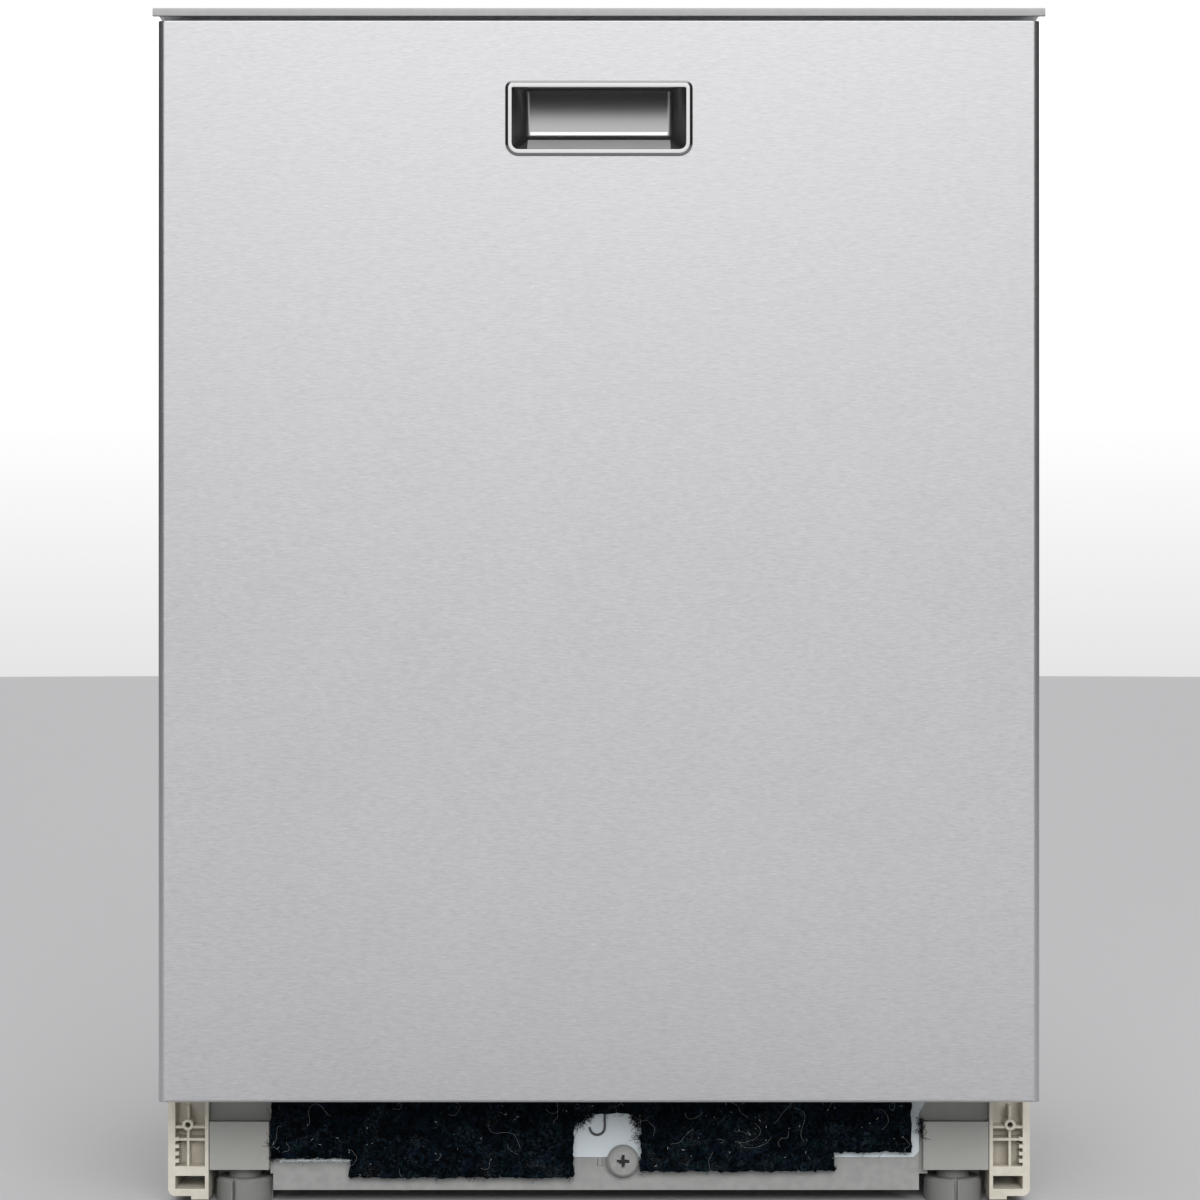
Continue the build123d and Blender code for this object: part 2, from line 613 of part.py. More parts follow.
def dispenser_body():
    """Detergent dispenser let into the liner, with an open cup and a rinse-aid well."""
    x, z = DISPENSER_CENTRE
    half_x, half_z = DISPENSER_LENGTH / 2, DISPENSER_HEIGHT / 2
    body = block(x - half_x, x + half_x, DISH_Y - DISPENSER_DEPTH, DISH_Y, z - half_z, z + half_z)
    body = fillet(body.edges().filter_by(Axis.Y), 2 * THIN_WALL)
    cup_x, cup_z = x + CUP_PLACE[0], z + CUP_PLACE[1]
    cup = block(cup_x - CUP_LENGTH / 2, cup_x + CUP_LENGTH / 2, DISH_Y - CUP_DEPTH, DISH_Y,
                cup_z - CUP_HEIGHT / 2, cup_z + CUP_HEIGHT / 2)
    cup = fillet(cup.edges().filter_by(Axis.Y), 3 * THIN_WALL)
    for edge in (LEFT, RIGHT):
        rail_z = cup_z + edge * (CUP_HEIGHT / 2 + LID_LAP + SEAT_GAP + THIN_WALL / 2)
        body += block(cup_x - CUP_LENGTH / 2 - LID_LAP, x + half_x - 2 * THIN_WALL, DISH_Y,
                      DISPENSER_FACE, rail_z - THIN_WALL / 2, rail_z + THIN_WALL / 2)
    cap_x, cap_z = x + CAP_PLACE[0], z + CAP_PLACE[1]
    well = along_y(cap_x, DISH_Y - CAP_THICK - SEAT_GAP, DISH_Y, cap_z, CAP_R + RUN_FIT)
    return body - cup - well


def dispenser_lid():
    """Lid that slides sideways off the detergent cup."""
    x, z = DISPENSER_CENTRE
    cup_x, cup_z = x + CUP_PLACE[0], z + CUP_PLACE[1]
    y0 = DISH_Y + SEAT_GAP
    lid = block(cup_x - CUP_LENGTH / 2 - LID_LAP, cup_x + CUP_LENGTH / 2 + LID_LAP, y0, y0 + LID_THICK,
                cup_z - CUP_HEIGHT / 2 - LID_LAP, cup_z + CUP_HEIGHT / 2 + LID_LAP)
    return fillet(lid.edges().filter_by(Axis.Y), LID_LAP)


def rinse_aid_cap():
    """Quarter-turn cap with a grip bar."""
    x, z = DISPENSER_CENTRE[0] + CAP_PLACE[0], DISPENSER_CENTRE[1] + CAP_PLACE[1]
    face = DISH_Y
    cap = along_y(x, face - CAP_THICK, face, z, CAP_R)
    half_x, half_z = CAP_GRIP[0] / 2, CAP_GRIP[1] / 2
    return cap + block(x - half_x, x + half_x, face, face + LID_THICK, z - half_z, z + half_z)


def arm_foot():
    """Where a hinge arm widens into its flange, above the liner's notch."""
    return HINGE_Z + HINGE_NOTCH + HINGE_EYE_R


def hinge_arms():
    """Door arms, each with a pin eye, a spring lever and a flange against the liner."""
    y1 = LINER_Y - SHEET
    lever_y, lever_z = HINGE_Y + SPRING_LEVER[0], HINGE_Z + SPRING_LEVER[1]
    x0, x1 = -ARM_X, -ARM_X + HINGE_PLATE
    foot = arm_foot()
    arm = block(x0, x1, HINGE_Y - HINGE_EYE_R, y1, foot, foot + ARM_HEIGHT)
    arm += block(x0, x1, HINGE_Y - HINGE_EYE_R, HINGE_Y + HINGE_EYE_R, HINGE_Z, foot)
    arm += along_x(x0, x1, HINGE_Y, HINGE_Z, HINGE_EYE_R)
    arm += block(x0, x1, HINGE_Y, lever_y, HINGE_Z, lever_z + PEG_R)
    arm -= along_x(x0 - 1, x1 + 1, HINGE_Y, HINGE_Z, HINGE_PIN_R + RUN_FIT)
    arm += along_x(x1, x1 + 2 * PEG_R, lever_y - PEG_R, lever_z, PEG_R - SEAT_GAP)
    arm += block(x1, x1 + HINGE_EYE_R, y1 - HINGE_PLATE, y1, foot, foot + ARM_HEIGHT)
    return pair(arm)


# Cabinet

def top_trim():
    """Folded steel strip over the door, screwed to the worktop above it."""
    y0, y1 = FRONT + TRIM_SETBACK, TUB_FRONT + TRIM_REST
    plate = block(-WIDTH / 2, WIDTH / 2, y0, y1, HEIGHT - SHEET, HEIGHT)
    lip = block(-WIDTH / 2, WIDTH / 2, y0, y0 + SHEET, TRIM_BOTTOM, HEIGHT)
    trim = plate + lip
    bend = trim.edges().filter_by(Axis.X).group_by(Axis.Z)[-1].sort_by(Axis.Y)[0]
    trim = fillet(bend, 0.8 * SHEET)
    for side in (LEFT, RIGHT):
        trim -= post(side * WORKTOP_SCREW_SPAN / 2, (y0 + TUB_FRONT) / 2, HEIGHT - 2 * SHEET, HEIGHT + SHEET,
                     WORKTOP_SCREW_R)
    return trim


def tub():
    """Steel wash chamber: roof, sides and back in one, with a front flange folded back at its edges."""
    shell = block(-TUB_HALF, TUB_HALF, TUB_FRONT, TUB_BACK, TRACK, TUB_TOP)
    shell = fillet(tub_round_edges(shell), TUB_RADIUS)
    room = block(-TUB_IN, TUB_IN, TUB_FRONT - TUB_SHEET, TUB_BACK - TUB_SHEET, TRACK - TUB_SHEET,
                 TUB_TOP - TUB_SHEET)
    room = fillet(tub_round_edges(room), TUB_RADIUS - TUB_SHEET)
    top = HEIGHT - SHEET
    flange = block(-FLANGE_HALF, FLANGE_HALF, TUB_FRONT, TUB_FRONT + TUB_SHEET, TRACK, top)
    for side in (LEFT, RIGHT):
        x0, x1 = sorted((side * FLANGE_HALF, side * (FLANGE_HALF - TUB_SHEET)))
        flange += block(x0, x1, TUB_FRONT, TUB_FRONT + TUB_RETURN, TRACK, top)
    return shell + flange - room


def tub_round_edges(solid):
    """Edges of a tub form that are drawn to a radius: the roof's sides and round the back."""
    back = solid.faces().sort_by(Axis.Y)[-1].edges()
    upper = [e for e in back if e.center().Z > TRACK + TUB_RADIUS]
    roof = solid.faces().sort_by(Axis.Z)[-1].edges().filter_by(Axis.Y)
    return ShapeList(upper + list(roof))


def door_gasket():
    """Rubber seal round the tub's mouth, open below."""
    outer_x = TUB_HALF + GASKET_INSET + GASKET_BAND
    outer_z = TUB_TOP + GASKET_INSET + GASKET_BAND
    y0 = LINER_Y + LIFT_GAP
    band = block(-outer_x, outer_x, y0, TUB_FRONT, TRACK + GASKET_INSET, outer_z)
    band = fillet(band.edges().filter_by(Axis.Y).group_by(Axis.Z)[-1], TUB_RADIUS + GASKET_BAND)
    hole = block(-TUB_HALF - GASKET_INSET, TUB_HALF + GASKET_INSET, y0 - 1, TUB_FRONT + 1, TRACK,
                 TUB_TOP + GASKET_INSET)
    hole = fillet(hole.edges().filter_by(Axis.Y).group_by(Axis.Z)[-1], TUB_RADIUS)
    return band - hole


def sound_blanket():
    """Felt sheets round the tub: both sides, roof and back."""
    y0 = TUB_FRONT + TUB_RETURN + SEAT_GAP
    foot = TRACK + BLANKET_FOOT
    half = TUB_HALF + BLANKET
    side = block(-half, -TUB_HALF, y0, TUB_BACK, foot, TUB_TOP)
    roof = block(-half, half, y0, TUB_BACK, TUB_TOP, TUB_TOP + BLANKET)
    rear = block(-half, half, TUB_BACK, TUB_BACK + BLANKET, foot, TUB_TOP + BLANKET)
    return pair(side) + [roof, rear]


def tub_floor():
    """Moulded floor with wheel tracks, a funnel to the sump and a float hole."""
    plate = block(-TUB_HALF, TUB_HALF, TUB_FRONT, TUB_BACK, BASE_TOP, TRACK)
    plate -= post(0, TUB_MID, BASE_TOP, TRACK, FUNNEL_R)
    under = SUMP_RIM - FLOOR_SHEET
    outline = Polyline((FUNNEL_R, TRACK), (FUNNEL_R, BASE_TOP), (SUMP_MOUTH_R + THIN_WALL, under),
                       (SUMP_R - THIN_WALL, under), (SUMP_R - THIN_WALL, SUMP_RIM),
                       (SUMP_MOUTH_R + THIN_WALL, SUMP_RIM), close=True)
    funnel = Pos(0, TUB_MID, 0) * revolve(Plane.XZ * make_face(outline), Axis.Z)
    x, y = float_place()
    return plate + funnel - post(x, y, BASE_TOP, TRACK, FLOAT_STEM_R + RUN_FIT)


def float_place():
    return -TUB_IN + FLOAT_INSET[0], TUB_FRONT + FLOAT_INSET[1]


def overfill_float():
    """Mushroom float that lifts a switch when the water is too high."""
    x, y = float_place()
    low = TRACK + SEAT_GAP
    cap = post(x, y, low, low + FLOAT_HEIGHT, FLOAT_R)
    cap = chamfer(cap.edges().sort_by(Axis.Z)[-1], FLOAT_HEIGHT / 2)
    return cap + post(x, y, BASE_TOP - 2 * FLOAT_TRAVEL, low, FLOAT_STEM_R)


def sump():
    """Bowl under the tub floor, with flat ports for the two pumps."""
    top = SUMP_RIM - FLOOR_SHEET
    bowl = post(0, TUB_MID, top - SUMP_DEPTH, top, SUMP_R)
    bowl = chamfer(bowl.edges().sort_by(Axis.Z)[0], SUMP_R / 4)
    bowl += post(0, TUB_MID, top - THIN_WALL, top, SUMP_MOUTH_R)
    for side, radius in ((RIGHT, MOTOR_R / 2), (LEFT, DRAIN_PUMP_R / 2)):
        x0, x1 = sorted((0, side * (SUMP_R + SUMP_PORT)))
        bowl += along_x(x0, x1, TUB_MID, PUMP_Z, radius)
    return bowl - post(0, TUB_MID, top - SUMP_DEPTH + THIN_WALL, top, SUMP_R - THIN_WALL)


def filter_place():
    return FILTER_OFFSET, TUB_MID


def filter_plate():
    """Flat strainer over the sump, with the spray hub standing on it."""
    low = SUMP_RIM
    plate = post(0, TUB_MID, low, low + FILTER_PLATE, SUMP_MOUTH_R)
    x, y = filter_place()
    plate -= post(x, y, low, low + FILTER_PLATE, FILTER_R + SEAT_GAP)
    hub_top = ARM_Z - LIFT_GAP
    plate += post(0, TUB_MID, low, hub_top, HUB_R)
    return plate + post(0, TUB_MID, low, ARM_Z + ARM_THICK, HUB_PIN_R)


def filter_cup():
    """Twist-out fine filter with a grip bar across its head."""
    x, y = filter_place()
    low, seat = SUMP_RIM - FILTER_DEPTH, SUMP_RIM + FILTER_PLATE + SEAT_GAP
    cup = post(x, y, low, seat, FILTER_R) - post(x, y, low + THIN_WALL, seat, FILTER_R - THIN_WALL)
    head = post(x, y, seat, seat + THIN_WALL, FILTER_R + THIN_WALL)
    head -= post(x, y, seat, seat + THIN_WALL, FILTER_R / 2)
    bar = block(x - FILTER_R, x + FILTER_R, y - THIN_WALL, y + THIN_WALL, seat, seat + FILTER_HEAD)
    return cup + head + bar


def spray_arm(radius, low):
    """Flat twin-bladed arm with a hub and slanted jet slots."""
    plan = Pos(0, TUB_MID) * SlotOverall(2 * radius, ARM_WIDTH)
    blade = extrude(Plane.XY.offset(low) * plan, amount=ARM_THICK)
    blade = chamfer(blade.faces().sort_by(Axis.Z)[-1].edges(), ARM_THICK / 3)
    blade += post(0, TUB_MID, low, low + ARM_THICK, ARM_HUB_R)
    step = (radius - ARM_HUB_R) / (JET_COUNT + 1)
    for i in range(JET_COUNT):
        place = ARM_HUB_R + (i + 1) * step
        for side in (LEFT, RIGHT):
            slot = Box(JET[0], JET[1], JET_DEPTH)
            blade -= Pos(side * place, TUB_MID, low + ARM_THICK) * Rot(0, 0, JET_TURN * side) * slot
    return blade


def lower_spray_arm():
    return spray_arm(ARM_R, ARM_Z) - post(0, TUB_MID, ARM_Z, ARM_Z + ARM_THICK, HUB_PIN_R + RUN_FIT)


def upper_spray_arm():
    low = UPPER_ARM_Z
    return spray_arm(UPPER_ARM_R, low) - post(0, TUB_MID, low, low + ARM_THICK, HUB_PIN_R + RUN_FIT)


def spray_manifold():
    """Water pipe under the upper rack, from its dock at the back to the arm's pin."""
    low = UPPER_ARM_Z + ARM_THICK + LIFT_GAP
    high = low + MANIFOLD_HEIGHT
    rear = TUB_BACK - TUB_SHEET - PIPE_DEPTH - LIFT_GAP
    pipe = block(-PIPE_WIDTH / 2, PIPE_WIDTH / 2, TUB_MID, rear, low, high)
    pipe += post(0, TUB_MID, low, high, PIPE_WIDTH / 2 + THIN_WALL)
    pipe += post(0, TUB_MID, UPPER_ARM_Z, high, HUB_PIN_R)
    under_rack = UPPER_FLOOR - 2 * WIRE_R
    pipe += block(-PIPE_WIDTH / 4, PIPE_WIDTH / 4, TUB_MID + PIPE_WIDTH, RACK_BACK, high, under_rack)
    return pipe + post(0, TUB_MID, high, under_rack, PIPE_WIDTH / 2)


def feed_tube():
    """Flat riser on the tub's back wall that ends in a roof shower."""
    rear = TUB_BACK - TUB_SHEET
    roof = TUB_TOP - TUB_SHEET
    riser = block(-PIPE_WIDTH / 2, PIPE_WIDTH / 2, rear - PIPE_DEPTH, rear, TRACK, roof - TUB_RADIUS)
    bend = block(-PIPE_WIDTH / 2, PIPE_WIDTH / 2, TUB_MID, rear - TUB_RADIUS, roof - PIPE_DEPTH, roof)
    turn_y, turn_z = rear - TUB_RADIUS, roof - TUB_RADIUS
    outline = Polyline((rear, turn_z), (turn_y, roof), (turn_y, roof - PIPE_DEPTH),
                       (turn_y - PIPE_DEPTH, roof - PIPE_DEPTH), (rear - PIPE_DEPTH, turn_z - PIPE_DEPTH),
                       (rear, turn_z - PIPE_DEPTH), close=True)
    elbow = extrude(facing_side(-PIPE_WIDTH / 2) * make_face(outline), amount=PIPE_WIDTH)
    shower = post(0, TUB_MID, roof - 2 * PIPE_DEPTH, roof, PIPE_WIDTH)
    shower = chamfer(shower.edges().sort_by(Axis.Z)[0], PIPE_DEPTH / 2)
    return riser + elbow + bend + shower


def latch_strike():
    """Tongue on the tub's mouth that the door's latch takes hold of."""
    half = STRIKE_WIDTH / 2
    z0, z1 = STRIKE_Z - STRIKE_THICK / 2, STRIKE_Z + STRIKE_THICK / 2
    tongue = block(-half, half, TUB_FRONT - STRIKE_REACH, TUB_FRONT, z0, z1)
    tongue = fillet(tongue.edges().filter_by(Axis.X).sort_by(Axis.Y)[:2], STRIKE_THICK / 3)
    return tongue


# Base

def base_outline():
    """Plan of the base: narrow between the leg brackets, full width behind them."""
    half, narrow = BASE_HALF, BRACKET_INNER - SEAT_GAP
    return Polyline((-narrow, BASE_FRONT), (narrow, BASE_FRONT), (narrow, SHOULDER), (half, SHOULDER),
                    (half, BASE_BACK), (-half, BASE_BACK), (-half, SHOULDER), (-narrow, SHOULDER), close=True)


def base_solid(grow):
    """Base form, or with grow the room inside its walls."""
    plan = make_face(base_outline())
    if grow:
        plan = offset(plan, amount=-grow, kind=Kind.INTERSECTION)
    solid = extrude(Plane.XY.offset(BASE_BOTTOM + grow) * plan, amount=BASE_TOP - BASE_BOTTOM - grow)
    for side in (LEFT, RIGHT):
        x0, x1 = sorted((side * (LEG_BLOCK_INNER - grow), side * WIDTH))
        solid -= block(x0, x1, FRONT, SHOULDER + grow, 0, LEG_BLOCK_BOTTOM + grow)
    return solid


def base_tray():
    """Moulded base with leg blocks, a spindle bush, spring pegs and openings for the feet and connections."""
    tray = base_solid(0) - base_solid(WALL)
    for side in (LEFT, RIGHT):
        inner = -LEG_BLOCK_INNER if side == LEFT else PLATE_RIGHT + PLATE_GAPS[0]
        x0, x1 = sorted((inner, side * (BRACKET_INNER - SEAT_GAP)))
        leg = block(x0, x1, LEG_FACE, SHOULDER, LEG_BLOCK_BOTTOM, LEG_BLOCK_TOP)
        tray += fillet(leg.edges().filter_by(Axis.Z).sort_by(Axis.Y)[:2], THIN_WALL / 2)
        tray -= post(side * FOOT_X, FOOT_Y, LEG_BLOCK_BOTTOM, FOOT_STEM_TOP + SEAT_GAP, FOOT_STEM_R + RUN_FIT)
        cord_x = side * cord_line()
        tray -= block(cord_x - COIL_R, cord_x + COIL_R, SHOULDER - 1, SHOULDER + WALL + 1,
                      spring_z() - COIL_R, BASE_TOP)
        x0, x1 = sorted((cord_x - side * COIL_R, side * (BASE_HALF - WALL)))
        tray += along_x(x0, x1, spring_rear() - PEG_R, spring_z(), PEG_R - SEAT_GAP)
    tray -= post(0, REAR_FOOT_Y, BASE_BOTTOM, BASE_BOTTOM + WALL, FOOT_NECK_R + SEAT_GAP)
    tray -= along_y(SPINDLE_X, BASE_FRONT, BASE_FRONT + WALL, SPINDLE_Z, SPINDLE_R + RUN_FIT)
    inlet, drain = INLET_THREAD_R - SHEET, DRAIN_SPIGOT_R - SHEET
    for x, radius in ((INLET_X, inlet), (DRAIN_X, drain), (GLAND_X, GLAND_R)):
        tray -= along_y(x, BASE_BACK - WALL, BASE_BACK, CONNECTION_Z, radius + SEAT_GAP)
    return tray


def leg_bracket():
    """Left leg bracket: a ribbed moulding, open to the front, with a toe-plate screw boss."""
    x0, x1 = -FLANGE_HALF, -BRACKET_INNER
    y0, y1 = LEG_FACE, LEG_FACE + BRACKET_DEPTH
    web = y0 + BRACKET_WEB
    shelf = LEG_BLOCK_BOTTOM
    frame = block(x0, x1, y0, y1, BRACKET_BOTTOM, BRACKET_TOP)
    frame = fillet(frame.edges().filter_by(Axis.Y).sort_by(Axis.X)[:2].sort_by(Axis.Z)[:1], 2 * BRACKET_WALL)
    inside = (x0 + 2 * BRACKET_WALL, x1 - BRACKET_WALL)
    frame -= block(*inside, y0, web, shelf + BRACKET_WALL, BRACKET_TOP)
    frame -= block(*inside, web + BRACKET_WALL, y1, shelf + BRACKET_WALL, BRACKET_TOP)
    frame -= block(*inside, y0, y1, *BRACKET_WINDOW)
    tab_width, tab_depth, tab_drop = BRACKET_TAB
    frame += block(x1 - tab_width, x1, y0, y0 + tab_depth, BRACKET_BOTTOM - tab_drop, BRACKET_BOTTOM)
    boss_x = x1 - TOE_SCREW_INSET
    rib = BRACKET_RIB / 2
    frame += block(boss_x - rib, boss_x + rib, y0 + BRACKET_WALL, web, shelf, BRACKET_TOP - 8 * BRACKET_WALL)
    for z in (TOE_SCREW_Z - BRACKET_RIB, TOE_SCREW_Z - 6 * BRACKET_RIB):
        frame += block(*inside, y0 + BRACKET_WALL / 2, web, z - rib, z + rib)
    frame += along_y(boss_x, y0, web, TOE_SCREW_Z, BRACKET_BOSS_R)
    for i in range(BRACKET_TEETH):
        tooth_z = shelf + (2 + 2 * i) * BRACKET_WALL
        frame += block(inside[0], inside[0] + BRACKET_WALL, y0, web, tooth_z, tooth_z + BRACKET_WALL)
    return frame - along_y(boss_x, y0 - 1, web, TOE_SCREW_Z, TOE_SCREW_R)


def foot(x, y, turn=0):
    """Turning foot with spanner slots, a neck and a stem."""
    disc = post(x, y, 0, FOOT_HEIGHT, FOOT_R)
    disc = chamfer(disc.edges().sort_by(Axis.Z)[-1], FOOT_HEIGHT / 8)
    for angle in range(0, 360, 90):
        slot = Box(FOOT_SLOT, 2 * FOOT_SLOT_DEPTH, 2 * FOOT_HEIGHT)
        disc -= Pos(x, y, FOOT_HEIGHT) * Rot(0, 0, angle + turn) * Pos(0, -FOOT_R, 0) * slot
    neck = post(x, y, FOOT_HEIGHT, foot_seat(y) - LIFT_GAP, FOOT_NECK_R)
    return disc + neck + post(x, y, FOOT_HEIGHT, FOOT_STEM_TOP, FOOT_STEM_R)


def foot_seat(y):
    """Underside of what a foot is screwed into."""
    return LEG_BLOCK_BOTTOM if y < 0 else BASE_BOTTOM + WALL


def rear_foot_gearbox():
    """Closed gear case that turns the rear foot from the spindle."""
    low = BASE_BOTTOM + WALL
    mid_x = SPINDLE_X / 2
    case = block(mid_x - GEARBOX[0] / 2, mid_x + GEARBOX[0] / 2, REAR_FOOT_Y - GEARBOX[1] / 2,
                 REAR_FOOT_Y + GEARBOX[1] / 2, low, low + GEARBOX[2])
    case = fillet(case.edges().filter_by(Axis.Z), THIN_WALL)
    case -= post(0, REAR_FOOT_Y, low, FOOT_STEM_TOP + SEAT_GAP, FOOT_STEM_R + RUN_FIT)
    return case - along_y(SPINDLE_X, REAR_FOOT_Y - GEARBOX[1] / 2, spindle_end() + SEAT_GAP, SPINDLE_Z,
                          SPINDLE_R + RUN_FIT)


def spindle_end():
    return REAR_FOOT_Y - GEARBOX[1] / 4


def adjuster_spindle():
    """Rod that turns the rear foot, with a cross-slotted head at the front."""
    face = BASE_FRONT - 2 * SHEET - SEAT_GAP
    head = along_y(SPINDLE_X, face - SPINDLE_HEAD, face, SPINDLE_Z, SPINDLE_HEAD_R)
    head = chamfer(head.edges().sort_by(Axis.Y)[0], SPINDLE_HEAD / 3)
    length, width, depth = CROSS_SLOT
    for size in ((length, 2 * depth, width), (width, 2 * depth, length)):
        head -= Pos(SPINDLE_X, face - SPINDLE_HEAD, SPINDLE_Z) * Box(*size)
    return head + along_y(SPINDLE_X, face, spindle_end(), SPINDLE_Z, SPINDLE_R)


def spindle_hole():
    return along_y(SPINDLE_X, LEG_FACE, BASE_FRONT, SPINDLE_Z, SPINDLE_R + 4 * SEAT_GAP)


def lower_cover_plate():
    """Grey plate over the lower part of the base front."""
    y0 = BASE_FRONT - SHEET
    plate = block(PLATE_LEFT, PLATE_RIGHT, y0, BASE_FRONT, LOWER_PLATE_BOTTOM, LOWER_PLATE_TOP)
    return plate - spindle_hole()


def white_cover_plate():
    """White plate behind the felt, with a flared upper right corner and a notch for the adjuster."""
    flare = SHEET * 4
    rise = (WHITE_PLATE_BOTTOM + KICK_TOP) / 2
    outline = Polyline((PLATE_LEFT, WHITE_PLATE_BOTTOM), (PLATE_RIGHT - flare, WHITE_PLATE_BOTTOM),
                       (PLATE_RIGHT, WHITE_PLATE_BOTTOM + flare), (PLATE_RIGHT, rise - flare),
                       (PLATE_RIGHT + flare, rise + flare), (PLATE_RIGHT + flare, KICK_TOP),
                       (PLATE_LEFT, KICK_TOP), close=True)
    plate = extrude(facing_front(BASE_FRONT - SHEET) * make_face(outline), amount=SHEET)
    return plate - spindle_hole()


def kick_felt():
    """Sound felt with stepped lower edges and a notch round the adjuster."""
    points = []
    for i, low in enumerate(FELT_EDGES):
        points += [(FELT_STEPS[i], low), (FELT_STEPS[i + 1], low)]
    points += [(FELT_STEPS[-1], KICK_TOP), (FELT_STEPS[0], KICK_TOP)]
    face = make_face(Polyline(*points, close=True))
    return extrude(facing_front(BASE_FRONT - 2 * SHEET) * face, amount=FELT)


def felt_hook():
    """Bent wire that holds the felt up at its notch."""
    x, z = HOOK_PLACE
    y = BASE_FRONT - 2 * SHEET - HOOK_WIRE_R
    top = FELT_EDGES[2]
    left, right = x - HOOK_BEND_R, x + HOOK_BEND_R
    shank = Line((right, top), (right, z))
    bend = ThreePointArc((right, z), (x, z - HOOK_BEND_R), (left, z))
    path = facing_front(y) * (shank + bend)
    start = Plane(origin=path @ 0, z_dir=path % 0)
    return sweep(start * octagon(HOOK_WIRE_R), path=path)


def circulation_pump():
    """Wash pump and its motor, on the sump's right port."""
    start = SUMP_R + SUMP_PORT
    volute = along_x(start, start + PUMP_VOLUTE, TUB_MID, PUMP_Z, PUMP_R)
    volute = chamfer(volute.edges().sort_by(Axis.X)[-1], PUMP_VOLUTE / 4)
    end = start + PUMP_VOLUTE + MOTOR_LENGTH
    motor = along_x(start + PUMP_VOLUTE, end, TUB_MID, PUMP_Z, MOTOR_R)
    motor = chamfer(motor.edges().sort_by(Axis.X)[-1], MOTOR_R / 6)
    return volute + motor


def drain_pump():
    """Small pump on the sump's left port."""
    start = SUMP_R + SUMP_PORT
    body = along_x(-start - DRAIN_PUMP_LENGTH, -start, TUB_MID, PUMP_Z, DRAIN_PUMP_R)
    return chamfer(body.edges().sort_by(Axis.X)[0], DRAIN_PUMP_R / 5)


def rear_fitting(x, radius, bore, body_half, body_length):
    """Fitting through the base's back wall: a block inside and a spigot that ends at the machine's back."""
    inside = BASE_BACK - WALL
    fitting = block(x - body_half, x + body_half, inside - body_length, inside, CONNECTION_Z - body_half,
                    CONNECTION_Z + body_half)
    fitting = fillet(fitting.edges().filter_by(Axis.Y), THIN_WALL)
    fitting += along_y(x, inside, BASE_BACK, CONNECTION_Z, radius - SHEET)
    fitting += along_y(x, BASE_BACK, BACK, CONNECTION_Z, radius)
    return fitting - along_y(x, inside - body_length / 2, BACK, CONNECTION_Z, bore)


def inlet_valve():
    return rear_fitting(INLET_X, INLET_THREAD_R, INLET_THREAD_R - 2 * THIN_WALL, INLET_THREAD_R + FITTING_RIM,
                        INLET_BODY)


def drain_outlet():
    return rear_fitting(DRAIN_X, DRAIN_SPIGOT_R, DRAIN_SPIGOT_R - THIN_WALL, DRAIN_SPIGOT_R + FITTING_RIM,
                        DRAIN_BODY)


def cable_gland():
    """Bushing for the supply cord in the base's back wall."""
    inside = BASE_BACK - WALL
    bush = along_y(GLAND_X, inside, BASE_BACK + 2 * WALL, CONNECTION_Z, GLAND_R)
    bush += along_y(GLAND_X, inside - WALL, inside, CONNECTION_Z, GLAND_R + WALL)
    return bush - along_y(GLAND_X, inside - WALL, BASE_BACK + 2 * WALL, CONNECTION_Z, GLAND_BORE_R)


def hinge_brackets():
    """Fixed hinge plates with their pins, bolted to the base's shoulders."""
    x0, x1 = -HINGE_X, -HINGE_X + HINGE_PLATE
    plate = along_x(x0, x1, HINGE_Y, HINGE_Z, HINGE_EYE_R)
    open_flange = HINGE_Z - HINGE_SETBACK + PANEL_FLANGE  # panel flange's edge with the door down
    plate += block(x0, x1, HINGE_Y, SHOULDER, open_flange + 3 * LIFT_GAP, HINGE_Z + HINGE_EYE_R)
    plate += block(x0, -BRACKET_INNER, SHOULDER - HINGE_PLATE, SHOULDER, BRACKET_TOP + SEAT_GAP, HINGE_Z)
    return pair(plate + along_x(x1, x1 + LIFT_GAP + HINGE_PLATE, HINGE_Y, HINGE_Z, HINGE_PIN_R))


def cord_line():
    """Distance of the spring cords from the middle of the machine."""
    return ARM_X - HINGE_PLATE - PEG_R


def spring_z():
    return HINGE_Z + SPRING_LEVER[1]


def spring_front():
    return HINGE_Y + SPRING_LEVER[0]


def spring_rear():
    return spring_front() + COIL_START + COIL_LENGTH + 2 * COIL_R


def door_springs():
    """Counterbalance springs with their cords, from the arms' pins to pegs in the base."""
    x, z = -cord_line(), spring_z()
    coil_start = spring_front() + COIL_START
    spring = along_y(x, spring_front() + SEAT_GAP, coil_start, z, CORD_R)
    spring += along_y(x, coil_start, coil_start + COIL_LENGTH, z, COIL_R)
    spring += along_y(x, coil_start + COIL_LENGTH, spring_rear() - 2 * PEG_R, z, CORD_R)
    return pair(spring)


# Racks

def rack_frame(half, floor, height, front, back):
    """Wires of a rack: two rims, upright side wires and a crossed floor."""
    wires = []
    out = half - RIM_WIRE_R
    for z in (floor, floor + height):
        for y in (front + RIM_WIRE_R, back - RIM_WIRE_R):
            wires.append(wire_x(-half, half, y, z, RIM_WIRE_R))
        for x in (-out, out):
            wires.append(wire_y(x, front + 2 * RIM_WIRE_R, back - 2 * RIM_WIRE_R, z, RIM_WIRE_R))
    inner = 2 * RIM_WIRE_R + WIRE_R
    low, high = floor - RIM_WIRE_R, floor + height + RIM_WIRE_R
    for x in spread(-half + RACK_PITCH, half - RACK_PITCH, RACK_PITCH):
        for y in (front + inner, back - inner):
            wires.append(wire_z(x, y, low, high, WIRE_R))
    for y in spread(front + RACK_PITCH, back - RACK_PITCH, RACK_PITCH):
        for x in (-half + inner, half - inner):
            wires.append(wire_z(x, y, low, high, WIRE_R))
    return wires


